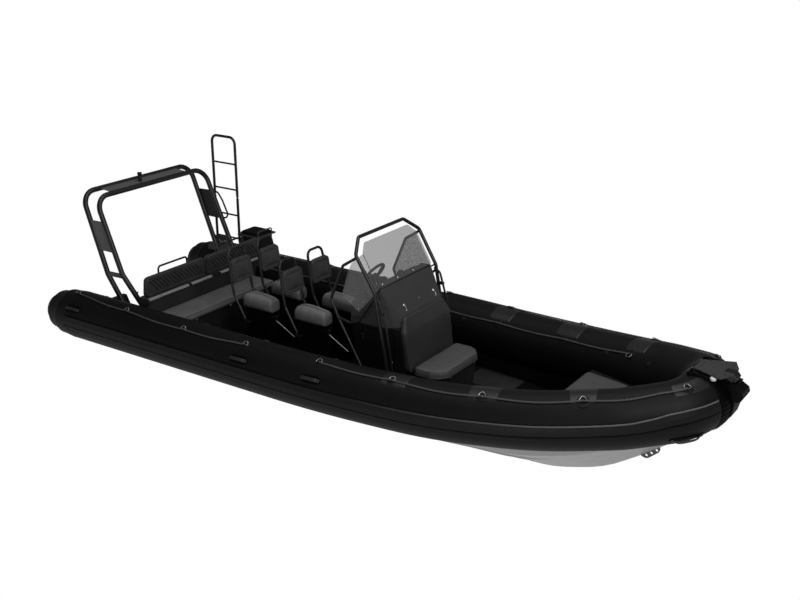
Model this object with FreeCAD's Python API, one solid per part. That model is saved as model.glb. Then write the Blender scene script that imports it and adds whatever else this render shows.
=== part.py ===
"""Rigid inflatable boat, patrol type: hull, inflated collar, console, seats and stern arch.

Units are millimetres. X points to the bow, Y to port and Z up. The origin lies on the
centreline, amidships, at the waterline. Each sub-part is written to parts/NODE.step.
"""
import math
import os

import FreeCAD
import Part

V = FreeCAD.Vector

# Driving dimensions -------------------------------------------------------------------
COLLAR_R = 290.0            # radius of the inflated tube
COLLAR_Y = 1215.0           # tube centreline to the boat's centreline
COLLAR_Z = 490.0            # height of the tube's centreline at the stern
TRANSOM_X = -3560.0         # outer face of the transom
CONE_X = TRANSOM_X          # where the stern cones begin
CONE_LENGTH = 490.0
TRANSOM_T = 60.0
KEEL_Z = -386.0
LEDGE_Z = 205.0             # top of the hull beside the deck
DECK_Z = 110.0              # top of the deck
DECK_T = 30.0
DECK_HALF = 900.0           # half width of the deck well
BOW_DECK_X = 2390.0         # aft face of the raised bow deck
BOW_DECK_Z = 545.0
LOCKER_END_X = 2960.0       # forward edge of the bow locker's lid
GAP = 0.3                   # parting gap between pieces that only lie near each other

# Collar centreline of the port side, corner by corner from the cone to the bow: x, y, z
COLLAR_CORNERS = [
    (CONE_X, COLLAR_Y, COLLAR_Z),
    (200, COLLAR_Y, COLLAR_Z),
    (1500, 1105, 505),
    (2500, 905, 590),
    (3250, 640, 715),
    (3700, 376, 812),
    (3815, 150, 855),
]
SEAM_RUN = 4                # the bow seam lies halfway along the run after this corner

parts = {}


# Shape helpers ------------------------------------------------------------------------
def point(p):
    return V(*p)


def rounded_path(points, bend=None):
    """Straight runs joined by tangent arcs; bend is the arcs' radius, or None for the largest."""
    pts = [point(p) for p in points]
    edges = []
    start = pts[0]
    for before, corner, after in zip(pts, pts[1:], pts[2:]):
        to_back = (before - corner).normalize()
        to_next = (after - corner).normalize()
        half = to_back.getAngle(to_next) / 2
        reach = 0.45 * min((before - corner).Length, (after - corner).Length)
        if bend is not None:
            reach = min(reach, bend / math.tan(half))
        radius = reach * math.tan(half)
        middle = (to_back + to_next).normalize()
        centre = corner + middle * (radius / math.sin(half))
        enter = corner + to_back * reach
        leave = corner + to_next * reach
        edges.append(Part.LineSegment(start, enter).toShape())
        edges.append(Part.Arc(enter, centre - middle * radius, leave).toShape())
        start = leave
    edges.append(Part.LineSegment(start, pts[-1]).toShape())
    return Part.Wire(edges)


def tube(points, radius, bend=None):
    """A solid round bar or tube along a rounded path."""
    path = rounded_path(points, bend)
    first = path.Edges[0]
    heading = first.tangentAt(first.FirstParameter)
    ring = Part.Wire(Part.makeCircle(radius, point(points[0]), heading))
    return path.makePipeShell([ring], True, False)


def prism(outline, direction):
    """A flat closed outline pushed along a direction."""
    pts = [point(p) for p in outline]
    return Part.Face(Part.makePolygon(pts + pts[:1])).extrude(point(direction))


def plate_xy(outline, z_low, z_high):
    return prism([(x, y, z_low) for x, y in outline], (0, 0, z_high - z_low))


def plate_xz(outline, y_low, y_high):
    return prism([(x, y_low, z) for x, z in outline], (0, y_high - y_low, 0))


def box(x0, x1, y0, y1, z0, z1):
    return Part.makeBox(x1 - x0, y1 - y0, z1 - z0, V(x0, y0, z0))


def rod_y(x, z, y0, y1, radius):
    """A round bar across the boat."""
    return Part.makeCylinder(radius, y1 - y0, V(x, y0, z), V(0, 1, 0))


def rod_x(x0, x1, y, z, radius):
    """A round bar along the boat."""
    return Part.makeCylinder(radius, x1 - x0, V(x0, y, z), V(1, 0, 0))


def mirrored(shape):
    return shape.mirror(V(0, 0, 0), V(0, 1, 0))


def both_sides(shape):
    """The port shape and its starboard twin, as separate solids."""
    return Part.Compound([shape, mirrored(shape)])


def fused(shapes):
    return shapes[0].multiFuse(shapes[1:]).removeSplitter() if len(shapes) > 1 else shapes[0]


def largest(shape):
    return max(shape.Solids, key=lambda solid: solid.Volume)


def mirror_points(points):
    return [(x, -y, z) for x, y, z in points]


def symmetric(points):
    """Port points continued over the centreline to starboard."""
    return points + mirror_points(points)[::-1]


def loft(sections):
    wires = [Part.makePolygon([point(p) for p in s] + [point(s[0])]) for s in sections]
    return Part.makeLoft(wires, True, True)


# Collar -------------------------------------------------------------------------------
def collar_seam():
    before, after = COLLAR_CORNERS[SEAM_RUN], COLLAR_CORNERS[SEAM_RUN + 1]
    return tuple((a + b) / 2 for a, b in zip(before, after))


def side_corners():
    return COLLAR_CORNERS[:SEAM_RUN + 1] + [collar_seam()]


def nose_corners():
    return symmetric([collar_seam()] + COLLAR_CORNERS[SEAM_RUN + 1:])


def make_collar():
    port = tube(side_corners(), COLLAR_R)
    parts["collar_port"] = port
    parts["collar_starboard"] = mirrored(port)
    parts["collar_bow"] = tube(nose_corners(), COLLAR_R)
    # stern cone: station behind the tube's end, radius
    profile = [(0, COLLAR_R), (170, 274), (320, 236), (430, 176), (CONE_LENGTH, 96)]
    rim = [V(CONE_X - back, 0, r) for back, r in profile]
    outline = Part.makePolygon([V(CONE_X, 0, 0)] + rim + [V(CONE_X - CONE_LENGTH, 0, 0), V(CONE_X, 0, 0)])
    cone = Part.Face(outline).revolve(V(0, 0, 0), V(1, 0, 0), 360)
    cone.translate(V(0, COLLAR_Y, COLLAR_Z))
    parts["stern_cones"] = both_sides(cone)


def collar_frame(x):
    """Where the port tube's centreline passes x: the point, and unit vectors ahead, out and up."""
    for edge in rounded_path(side_corners()).Edges + rounded_path(nose_corners()).Edges:
        low, high = edge.FirstParameter, edge.LastParameter
        if not edge.valueAt(low).x <= x <= edge.valueAt(high).x:
            continue
        for _ in range(40):
            middle = (low + high) / 2
            if edge.valueAt(middle).x < x:
                low = middle
            else:
                high = middle
        ahead = edge.tangentAt(low)
        out = V(-ahead.y, ahead.x, 0).normalize()
        return edge.valueAt(low), ahead, out, ahead.cross(out)
    raise ValueError("no tube at x = %s" % x)


# Rub strake: a moulded band along the tube's flank, which climbs towards the nose.
# x, lower and upper edge as angles up the tube from straight outboard
STRAKE_EDGES = [
    (CONE_X, -9, 15),
    (1500, -9, 15),
    (3100, -6, 15),
    (3310, -4, 17),
    (3510, -2, 21),
    (3690, 5, 28),
    (3800, 6, 28),
]
STRAKE_T = 20.0
STRAKE_SEAT = 2.2                   # the band's straight facets stand this far off the tube


def strake_edges(x):
    for (x0, low0, high0), (x1, low1, high1) in zip(STRAKE_EDGES, STRAKE_EDGES[1:]):
        if x0 <= x <= x1:
            share = (x - x0) / (x1 - x0)
            return low0 + share * (low1 - low0), high0 + share * (high1 - high0)
    raise ValueError("no strake at x = %s" % x)


def make_rub_strakes():
    seat, shoulder, crown = COLLAR_R + STRAKE_SEAT, COLLAR_R + STRAKE_T - 5, COLLAR_R + STRAKE_T
    stations = [CONE_X + 5] + [-400 + 240 * n for n in range(16)]
    stations = stations + [3275, 3350, 3425, 3500, 3560, 3605, 3645, 3680, 3710, 3735, 3757, 3775, 3788]
    sections = []
    for x in stations:
        centre, _, out, up = collar_frame(x)
        low, high = strake_edges(x)
        inner = [(seat, low + (high - low) * step / 4) for step in range(5)]
        outer = [(shoulder, high), (crown, high - 1.2), (crown, (low + high) / 2), (crown, low + 1.2), (shoulder, low)]
        section = []
        for radius, angle in inner + outer:
            turn = math.radians(angle)
            spot = centre + out * (radius * math.cos(turn)) + up * (radius * math.sin(turn))
            section.append((spot.x, spot.y, spot.z))
        sections.append(section)
    parts["rub_strakes"] = both_sides(loft(sections))


def on_collar(shape, x, angle, side=1):
    """Moves a piece made at the origin, run along X and standing on Z, onto the tube."""
    centre, ahead, out, up = collar_frame(x)
    turn = math.radians(angle)
    normal = out * math.cos(turn) + up * math.sin(turn)
    across = normal.cross(ahead)
    seat = centre + normal * (COLLAR_R + GAP)
    place = FreeCAD.Matrix(ahead.x, across.x, normal.x, seat.x, ahead.y, across.y, normal.y, seat.y,
                           ahead.z, across.z, normal.z, seat.z, 0, 0, 0, 1)
    moved = shape.transformGeometry(place)
    return moved if side > 0 else mirrored(moved)


def make_handles():
    """Moulded rubber grab handles on the collar: x, angle up the tube."""
    places = [(-3430, 35), (-780, 32), (180, 33), (3640, -38)]
    plan = [(-105, 0), (105, 0), (80, 34), (-80, 34)]
    hole = [(-62, 8), (62, 8), (56, 24), (-56, 24)]
    grip = plate_xz(plan, -18, 18).cut(plate_xz(hole, -19, 19))
    foot = box(-120, 120, -34, 34, 8, 12)
    foot = foot.cut(box(-62, 62, -40, 40, 0, 20))
    handle = fused([grip, foot])
    parts["carry_handles"] = Part.Compound(
        [on_collar(handle, x, angle, side) for x, angle in places for side in (1, -1)])


# Hull ---------------------------------------------------------------------------------
# x, keel z, chine y, chine z, top y, top z
HULL_SECTIONS = [
    (TRANSOM_X, KEEL_Z, 940, 55, 1110, 232),
    (1100, KEEL_Z, 925, 60, 1060, 240),
    (1632, KEEL_Z, 850, 80, 1000, 256),
    (2226, -374, 780, 100, 900, 306),
    (2639, -272, 660, 155, 780, 352),
    (2894, -172, 545, 205, 680, 392),
    (3148, -12, 410, 275, 560, 446),
    (3424, 185, 250, 365, 400, 512),
    (3640, 360, 80, 460, 150, 560),
]
# spray rails on the bottom: share of the way from keel to chine, where the rail ends
SPRAY_RAILS = [(0.22, 1790), (0.42, 2330), (0.72, 2600)]
RAIL_WIDTH, RAIL_DEPTH, RAIL_FADE = 46.0, 24.0, 620.0


def hull_section(x):
    """The table's row at x, eased so that keel, chine and top run as fair curves."""
    rows = HULL_SECTIONS
    slopes = []
    for n, row in enumerate(rows):
        before, after = rows[max(n - 1, 1)], rows[min(n + 1, len(rows) - 1)]
        run = after[0] - before[0]
        slopes.append([(q - p) / run if run else 0.0 for p, q in zip(before, after)])
    for (low, high, slope0, slope1) in zip(rows, rows[1:], slopes, slopes[1:]):
        if low[0] <= x <= high[0]:
            run = high[0] - low[0]
            t = (x - low[0]) / run
            row = [x]
            for p, q, m, n in list(zip(low, high, slope0, slope1))[1:]:
                if low is rows[0]:
                    row.append(p + (q - p) * t)
                else:
                    row.append(p * (1 + 2 * t) * (1 - t) ** 2 + q * t * t * (3 - 2 * t)
                               + run * (m * t * (1 - t) ** 2 - n * t * t * (1 - t)))
            return row
    raise ValueError("no hull at x = %s" % x)


def make_hull():
    sections = []
    stations = [TRANSOM_X, -1500, 0] + [1100 + 133 * n for n in range(19)] + [3640]
    for x in stations:
        x, keel_z, chine_y, chine_z, top_y, top_z = hull_section(x)
        port = [(x, top_y, top_z), (x, chine_y, chine_z)]
        for share, rail_end in SPRAY_RAILS[::-1]:
            depth = max(0.8, RAIL_DEPTH * min(1.0, (rail_end - x) / RAIL_FADE))
            edge_y, edge_z = chine_y * share, keel_z + (chine_z - keel_z) * share
            inner = share - RAIL_WIDTH / chine_y * min(1.0, 0.15 + depth / RAIL_DEPTH)
            port = port + [(x, edge_y, edge_z), (x, edge_y - 3, edge_z - depth),
                           (x, chine_y * inner, keel_z + (chine_z - keel_z) * inner)]
        sections.append(port + [(x, 0, keel_z)] + mirror_points(port)[::-1])
    hull = loft(sections)
    well = plate_xy(deck_outline(0), DECK_Z - DECK_T, 700)
    hull = hull.cut(well)
    for name in ("collar_port", "collar_starboard", "collar_bow"):
        hull = hull.cut(parts[name])
    parts["hull"] = largest(hull)
    parts["deck"] = plate_xy(deck_outline(GAP), DECK_Z - DECK_T, DECK_Z)


def deck_outline(inset):
    """Plan of the cockpit well from the transom to the bow deck."""
    aft = TRANSOM_X + TRANSOM_T + inset
    port = [(aft, DECK_HALF - inset), (1100, DECK_HALF - inset), (BOW_DECK_X - inset, 640 - inset)]
    return port + [(x, -y) for x, y in port[::-1]]


def make_transom():
    """Board across the stern with the engine cut-out, above the hull's own end."""
    top_z, cut_z, cut_half, half = 560, 240, 420, 905
    outline = [
        (half, LEDGE_Z), (half, top_z), (cut_half + 120, top_z), (cut_half, cut_z),
    ]
    outline = outline + [(-y, z) for y, z in outline[::-1]]
    board = prism([(TRANSOM_X, y, z) for y, z in outline], (TRANSOM_T, 0, 0))
    for name in ("collar_port", "collar_starboard", "hull"):
        board = board.cut(parts[name])
    # engine bolts: half spacing, height
    for half_spacing, z in ((163.5, 190), (125.4, -13)):
        for side in (1, -1):
            bolt = Part.makeCylinder(6.5, 400, V(TRANSOM_X - 100, side * half_spacing, z), V(1, 0, 0))
            board = board.cut(bolt)
            parts["hull"] = parts["hull"].cut(bolt)
    parts["transom"] = board


def make_bow_deck():
    """Raised deck between the tubes, closed by the locker lid."""
    outline = [(BOW_DECK_X, 840), (2894, 640), (3424, 360), (3580, 200)]
    outline = outline + [(x, -y) for x, y in outline[::-1]]
    deck = plate_xy(outline, 250, BOW_DECK_Z)
    for name in ("collar_port", "collar_starboard", "collar_bow", "hull"):
        deck = deck.cut(parts[name])
    locker = plate_xy(locker_outline(60), 340, BOW_DECK_Z + 1)
    deck = largest(deck.cut(locker))
    lid = plate_xy(locker_outline(0), BOW_DECK_Z + GAP, BOW_DECK_Z + 52)
    for y in (200, -200):
        hinge_x = LOCKER_END_X + 14
        fixed, moving = lid_hinge(hinge_x, BOW_DECK_Z + 12, hinge_x - 5, (LOCKER_END_X - 4, BOW_DECK_Z + 14), y)
        seats = [box(hinge_x - 5, hinge_x + 5, y + y0, y + y0 + 14, BOW_DECK_Z - 2, BOW_DECK_Z + 12) for y0 in (-30, 16)]
        deck = fused([deck, fixed] + seats)
        lid = fused([lid, moving])
    parts["bow_deck"] = deck
    parts["bow_locker_lid"] = lid


def locker_outline(inset):
    """Plan of the locker lid, or of the well under it."""
    port = [(BOW_DECK_X + 15 + inset, 470 - inset), (2890 - inset, 375 - inset), (LOCKER_END_X - inset, 300 - inset)]
    return port + [(x, -y) for x, y in port[::-1]]


# Bow fittings -------------------------------------------------------------------------
STEP_TOP = 1169.0
STEP_T = 12.0
ROLLER = (4092.0, 1112.0)            # x, z of the roller's axle
LAMP = (3938.0, 196.0, 1138.0)


def make_bow_fittings():
    # stepping plate over the nose: x, half width
    plan = [(3719, 117), (4011, 235), (4083, 87), (4083, 50), (3990, 50)]
    plan = plan + [(x, -y) for x, y in plan[::-1]]
    plate = plate_xy(plan, STEP_TOP - STEP_T, STEP_TOP)
    cheek = plate_xz([(3719, STEP_TOP - 6), (3990, STEP_TOP - 6), (3940, 1090), (3800, 1050), (3621, 1054)], 102, 112)
    ear_plan = [(3985, STEP_TOP - 6), (4083, STEP_TOP - 6), (4118, 1120), (4104, 1088), (4060, 1084), (3960, 1130)]
    ear = plate_xz(ear_plan, 50, 58)
    step = fused([plate, cheek, mirrored(cheek), ear, mirrored(ear)])
    step = step.cut(parts["collar_bow"])
    step = step.cut(rod_y(ROLLER[0], ROLLER[1], -70, 70, 6))
    axle = rod_y(ROLLER[0], ROLLER[1], -62, 62, 6)
    parts["bow_step"] = fused([largest(step), axle])
    roller = rod_y(ROLLER[0], ROLLER[1], -44, 44, 25)
    parts["bow_roller"] = roller.cut(rod_y(ROLLER[0], ROLLER[1], -45, 45, 6.05))
    # stepped rubber nose fender, seen from the side: x, z
    profile = [(4000, 1050), (4060, 1072), (4128, 1072), (4124, 1050), (4190, 1012), (4203, 966), (4182, 924),
               (4128, 906), (4124, 820), (4108, 752), (4000, 735)]
    fender = plate_xz(profile, -105, 105).cut(parts["collar_bow"])
    parts["bow_fender"] = largest(fender)
    # tow eye: a plate under the stem with three holes
    eye = plate_xz([(3225, 75), (3247, 45), (3293, 34), (3320, 44), (3418, 130), (3432, 160), (3420, 240),
                    (3225, 120)], -8, 8)
    for x, z in ((3296, 68), (3347, 106), (3398, 150)):
        eye = eye.cut(rod_y(x, z, -9, 9, 15))
    parts["tow_eye"] = largest(eye.cut(parts["hull"]))
    # navigation lamps hung under the step's edge
    x, y, z = LAMP
    neck = Part.makeCylinder(8, STEP_TOP - STEP_T - z - GAP, V(x, y, z))
    lamp = fused([Part.makeSphere(17, V(x, y, z)), neck])
    parts["bow_lamps"] = both_sides(lamp.cut(parts["collar_bow"]))


# Hinges -------------------------------------------------------------------------------
KNUCKLE_R = 7.0
PIN_R = 3.0
BORE_R = 3.05
KNUCKLE_L = 30.0


def lid_hinge(x, z, leaf_aft, leaf_up, y):
    """Pin hinge across the boat: returns its fixed piece and its moving piece.

    The fixed knuckles stand either side of the moving one. leaf_aft is the x to which the
    fixed leaf runs back; leaf_up is the corner (x, z) to which the moving leaf reaches.
    """
    half = KNUCKLE_L / 2
    fixed = [rod_y(x, z, y - 2 * half, y + 2 * half, PIN_R)]
    for y0, y1 in ((y - 2 * half, y - half - 1), (y + half + 1, y + 2 * half)):
        fixed.append(rod_y(x, z, y0, y1, KNUCKLE_R))
        fixed.append(box(leaf_aft, x, y0, y1, z - 4, z + 4))
    moving = [rod_y(x, z, y - half, y + half, KNUCKLE_R)]
    x0, x1 = sorted((x, leaf_up[0]))
    if x1 - x0 < 1:
        x0, x1 = x - 4, x + 4
    moving.append(box(x0, x1, y - half, y + half, min(z, leaf_up[1]), max(z + 4, leaf_up[1])))
    return fused(fixed), fused(moving).cut(rod_y(x, z, y - half - 1, y + half + 1, BORE_R))


# Console ------------------------------------------------------------------------------
CONSOLE_HALF = 495.0
CONSOLE_TOP = 1398.0
POD_Z = 955.0                        # the instrument pod stands on the pedestal here
PANE_T = 8.0


def make_console():
    front_x = 645
    pedestal = [(130, DECK_Z), (700, DECK_Z), (front_x, POD_Z), (10, POD_Z), (0, 800)]
    parts["console"] = plate_xz(pedestal, -CONSOLE_HALF + 40, CONSOLE_HALF - 40)
    outline = [(10, POD_Z), (front_x, POD_Z), (632, 1040), (624, 1093), (419, 1382), (400, CONSOLE_TOP),
               (300, CONSOLE_TOP), (30, 1180)]
    pod = plate_xz(outline, -CONSOLE_HALF, CONSOLE_HALF)
    # the pod narrows towards its front face, and each side has a louvred vent in a sloping recess
    corner = plate_xy([(410, CONSOLE_HALF), (760, 312), (760, CONSOLE_HALF + 60), (410, CONSOLE_HALF + 60)], 900, 1450)
    louvre = [(182, 1016), (232, 1030), (322, 1172), (300, 1208)]
    recess = plate_xz(louvre, CONSOLE_HALF - 14, CONSOLE_HALF + 1)
    slats = []
    for step in range(5):
        x, z = 200 + 22 * step, 1036 + 35 * step
        slats.append(plate_xz([(x - 14, z + 4), (x + 50, z - 22), (x + 50, z - 14), (x - 14, z + 12)],
                              CONSOLE_HALF - 15, CONSOLE_HALF - 3).common(recess))
    for turn in (lambda s: s, mirrored):
        pod = pod.cut(turn(corner)).cut(turn(recess))
        pod = fused([pod] + [turn(s) for s in slats])
    parts["console_pod"] = pod
    make_windscreen()


def make_windscreen():
    """Front pane, held inside the hoop, and a bolted side wing each side."""
    foot_x, foot_z, lean = 400, CONSOLE_TOP + GAP, 260 / 444
    outline = [(490, foot_z), (490, 1748), (392, 1844)]
    outline = outline + [(-y, z) for y, z in outline[::-1]]
    pane = [(foot_x - lean * (z - foot_z), y, z) for y, z in outline]
    parts["windscreen"] = prism(pane, (PANE_T, 0, 0)).cut(parts["console_pod"])
    wing = [(-95, 1246), (-22, 1479), (34, 1614), (182, 1742), (386, 1405), (320, 1296), (118, 1070)]
    y = CONSOLE_HALF + GAP
    parts["screen_wings"] = both_sides(plate_xz(wing, y, y + 6))


def make_console_rails():
    hoop = [(640, 600, DECK_Z - 20), (413, 600, 1371), (174, 608, 1758), (80, 428, 1898)]
    hoop = tube(symmetric(hoop), 20.0, 60)
    braces = []
    for side in (1, -1):
        y = side * 600
        bar = tube([(392, y, 1330), (470, y, 1290), (560, y, 997), (705, y, DECK_Z - 20)], 12, 60)
        clamp = box(450, 520, y - 20, y + 20, 1150, 1176)
        stay = tube([(400, y, 1371), (400, side * (CONSOLE_HALF - 5), 1371)], 9)
        braces = braces + [bar, clamp, stay]
    parts["guard_hoop"] = fused([hoop] + braces).cut(parts["deck"]).cut(parts["console_pod"])
    foot_z = DECK_Z + 16 + GAP
    rail = [(560, 600, foot_z), (436, 600, foot_z), (-70, 600, 990), (-172, 600, 1208), (-2, 600, 1610),
            (190, 600, 1736)]
    rail = tube(rail, 16.0, 50)
    grab = tube([(-76, 600, 1002), (75, 600, 974), (198, 600, 1014), (366, 600, 1266), (422, 600, 1320)], 14.0, 60)
    rail = fused([rail, grab]).cut(parts["guard_hoop"])
    parts["console_rails"] = both_sides(largest(rail))


WHEEL_CENTRE = V(-5, 0, 1312)
WHEEL_TILT = 35.0
WHEEL_R = 137.0
WHEEL_AXIS = V(-math.cos(math.radians(WHEEL_TILT)), 0, math.sin(math.radians(WHEEL_TILT)))


def make_steering():
    rim = Part.makeTorus(WHEEL_R, 13, WHEEL_CENTRE, WHEEL_AXIS)
    hub = Part.makeCylinder(38, 40, WHEEL_CENTRE - WHEEL_AXIS * 45, WHEEL_AXIS)
    spokes = []
    for turn in (90, 210, 330):
        spoke = Part.makeCylinder(9, WHEEL_R, V(0, 0, 0), V(0, 0, 1))
        spoke.rotate(V(0, 0, 0), V(1, 0, 0), turn)
        spoke.rotate(V(0, 0, 0), V(0, 1, 0), WHEEL_TILT)
        spoke.translate(WHEEL_CENTRE)
        spokes.append(spoke)
    parts["steering_wheel"] = fused([hub, rim] + spokes)
    column = Part.makeCylinder(30, 200, WHEEL_CENTRE - WHEEL_AXIS * 246, WHEEL_AXIS)
    parts["helm"] = largest(column.cut(parts["console_pod"]))
    # engine throttle: a box on the dash with its lever
    body = box(60, 170, -330, -250, 1180, 1330)
    lever = tube([(110, -290, 1310), (80, -290, 1420), (60, -290, 1460)], 9, 20)
    knob = Part.makeSphere(20, V(60, -290, 1460))
    parts["throttle"] = largest(fused([body, lever, knob]).cut(parts["console_pod"]))


SEAT_BASE_Z = 470.0


def make_console_seat():
    base = [(700, DECK_Z), (1090, DECK_Z), (1130, SEAT_BASE_Z), (665, SEAT_BASE_Z)]
    store = box(720, 1078, -305, 305, DECK_Z - 1, SEAT_BASE_Z + 10)
    seat_base = plate_xz(base, -320, 320).cut(parts["console"]).cut(store)
    plan = [(790, 440), (1005, 445), (1090, 395), (1165, 300)]
    plan = plan + [(x, -y) for x, y in plan[::-1]]
    lid = plate_xy(plan, SEAT_BASE_Z + GAP, 565)
    hinge_x, hinge_z = 1144, SEAT_BASE_Z - 12
    for y in (250, -250):
        fixed, moving = lid_hinge(hinge_x, hinge_z, 1124, (hinge_x, SEAT_BASE_Z + 2), y)
        seat_base = fused([seat_base, fixed])
        lid = fused([lid, moving])
    parts["console_seat_base"] = seat_base
    parts["console_seat_lid"] = lid
    # padded panel on the console's face: height, x and half width at its back, then at its front
    panel = [
        (SEAT_BASE_Z + GAP, 680, 455, 778, 450),
        (933, 640, 472, 706, 464),
        (1090, 600, 392, 658, 382),
    ]
    sections = []
    for z, back_x, back_half, front_x, front_half in panel:
        port = [(back_x, back_half, z), (front_x, front_half, z)]
        sections.append(port + mirror_points(port)[::-1])
    parts["console_backrest"] = loft(sections).cut(parts["console"]).cut(parts["console_pod"])


# Jockey seats -------------------------------------------------------------------------
SEAT_ROWS = (-1748.0, -964.0)       # x of the foot of each backrest
SEAT_Y = 258.0
POD_HALF = 78.0
# saddle sections: x ahead of the row, half width, top z
SADDLE = [(36, 62, 798), (72, 86, 866), (150, 97, 892), (290, 95, 886), (410, 84, 852), (482, 65, 824)]


def at_each_seat(shape):
    copies = []
    for x in SEAT_ROWS:
        for side in (1, -1):
            copy = shape.copy()
            copy.translate(V(x, side * SEAT_Y, 0))
            copies.append(copy)
    return Part.Compound(copies)


def make_jockey_seats():
    pod = plate_xz([(100, DECK_Z), (440, DECK_Z), (476, 420), (476, 700), (84, 700), (84, 420)], -POD_HALF, POD_HALF)
    # legs, hand loop and the cross bars behind the pad and under the saddle
    leg = [(150, POD_HALF - 20, 540), (150, 163, 540), (142, 163, 600), (-14, 163, 872), (-42, 163, 1025),
           (-115, 128, 1389)]
    frame = tube(symmetric(leg), 15.5, 75)
    cross = rod_y(-68, 1090, -155, 155, 10)
    frame = fused([frame, cross, rod_x(-62, -44, 0, 1090, 10)])
    # back pad on a leaning slab: y, z
    pad = [(-159, 1043), (159, 1043), (135, 1262), (110, 1285), (-110, 1285), (-135, 1262)]
    lean, pad_t = -28 / 240, 52
    pad = prism([(lean * (z - 1043) - pad_t, y, z) for y, z in pad], (pad_t, 0, 0))
    sections = []
    for x, half, top in SADDLE:
        rise = top - 700
        port = [(x, half, 700 + GAP), (x, half, 700 + 0.55 * rise), (x, 0.74 * half, 700 + 0.87 * rise),
                (x, 0.34 * half, top)]
        sections.append(port + mirror_points(port)[::-1])
    bar = tube([(460, 0, 607), (752, 0, 446)], 8)
    parts["jockey_pods"] = at_each_seat(pod)
    parts["jockey_cushions"] = at_each_seat(loft(sections))
    parts["jockey_backrests"] = at_each_seat(pad)
    parts["jockey_frames"] = at_each_seat(largest(frame.cut(pad).cut(pod)))
    parts["foot_bars"] = at_each_seat(bar.cut(pod))


# Aft bench ----------------------------------------------------------------------------
BENCH_FRONT = -2226.0
BENCH_BACK = -2629.0
BENCH_TOP = 600.0
BENCH_BASE_Z = 520.0
BACKREST_HALF = 1012.0
SHELF_Z = 830.0


def make_bench():
    back = BENCH_BACK - 90
    base = [(back, DECK_Z), (BENCH_FRONT - 60, DECK_Z), (BENCH_FRONT - 15, BENCH_BASE_Z), (back, BENCH_BASE_Z)]
    store = box(back + 15, BENCH_FRONT - 75, -765, 765, DECK_Z - 1, BENCH_BASE_Z + 1)
    bench_base = plate_xz(base, -780, 780).cut(store)
    lid = box(BENCH_BACK, BENCH_FRONT, -860, 860, BENCH_BASE_Z + GAP, BENCH_TOP)
    hinge_x, hinge_z = BENCH_FRONT - 1, BENCH_BASE_Z - 12
    for y in (600, 0, -600):
        fixed, moving = lid_hinge(hinge_x, hinge_z, BENCH_FRONT - 20, (hinge_x, BENCH_BASE_Z + 2), y)
        bench_base = fused([bench_base, fixed])
        lid = fused([lid, moving])
    parts["bench_base"] = bench_base
    parts["bench_lid"] = lid
    panel = box(back, BENCH_BACK - 10, -1010, 1010, BENCH_BASE_Z, SHELF_Z - 1)
    shelf = box(back, BENCH_BACK + 12, -BACKREST_HALF - 30, BACKREST_HALF + 30, SHELF_Z - 30, SHELF_Z)
    ends = []
    for side in (1, -1):
        y = side * (BACKREST_HALF + 30)
        y0, y1 = sorted((y, y - side * 34))
        ends.append(plate_xz([(back, SHELF_Z), (BENCH_BACK + 60, SHELF_Z), (BENCH_BACK + 88, SHELF_Z - 26),
                              (BENCH_BACK + 44, SHELF_Z - 92), (back, SHELF_Z - 130)], y0, y1))
    shell = fused([panel, shelf] + ends)
    for name in ("collar_port", "collar_starboard"):
        shell = shell.cut(parts[name])
    parts["bench_back"] = shell
    # two padded backs with slanting ribs pressed in their faces
    pad = plate_xz([(back + 30, SHELF_Z + GAP), (BENCH_BACK + 6, SHELF_Z + GAP), (BENCH_BACK + 44, 1075),
                    (back + 58, 1075)], 8, BACKREST_HALF)
    parts["bench_backrests"] = both_sides(pad)
    rail = [(back + 44, 260, 880), (back + 44, 260, 1140), (back + 44, 740, 1140), (back + 44, 740, 880)]
    rail = tube(rail, 12.0, 40)
    parts["grab_rails"] = both_sides(largest(rail.cut(parts["bench_back"]).cut(parts["bench_backrests"])))


# Stern arch ---------------------------------------------------------------------------
def make_arch():
    r = 32.0
    front = [(-2760, 850, LEDGE_Z), (-2800, 860, 560), (-3085, 943, 1021), (-3456, 925, 1911)]
    rear = [(-3120, 870, LEDGE_Z), (-3150, 875, 560), (-3350, 933, 968), (-3710, 915, 1932)]
    hoops = [tube(symmetric(points), r, 190).cut(parts["hull"]) for points in (front, rear)]
    parts["arch_front"] = hoops[0]
    parts["arch_rear"] = hoops[1]
    plank = prism([(-3456, -640, 1911), (-3710, -640, 1932), (-3710, -640, 1940), (-3456, -640, 1919)], (0, 1280, 0))
    parts["arch_plank"] = plank.cut(hoops[0]).cut(hoops[1])
    side = plate_xz([(-3335, 1606), (-3348, 1630), (-3570, 1622), (-3585, 1598), (-3470, 1284), (-3450, 1262),
                     (-3196, 1262), (-3185, 1284)], 928, 934)
    cross = plate_xz([(-3085, 1021), (-3350, 1010), (-3330, 950), (-3050, 960)], 928, 934)
    plates = [largest(p.cut(hoops[0]).cut(hoops[1])) for p in (side, cross)]
    plates = plates + [mirrored(p) for p in plates]
    parts["arch_plates"] = Part.Compound(plates)
    light = Part.makeCylinder(24, 60, V(-3575, -90, 1932), V(0, 0, 1))
    light = fused([light, Part.makeCylinder(12, 24, V(-3575, -90, 1985), V(0, 0, 1))])
    parts["arch_light"] = light.cut(plank)


# Boarding ladder ----------------------------------------------------------------------
LADDER_X = (-3515.0, -3110.0)
LADDER_Y = 1180.0
LADDER_FOOT = 850.0                 # axis on which the whole ladder swings outboard
LADDER_KNEE = 1510.0                # axis on which its upper half folds
LADDER_TOP = 2314.0
RAIL_R = 18.0
EYE_R = 12.0
HINGE_GAP = 24.0                    # from a hinge's axis to the rails' ends


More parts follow.
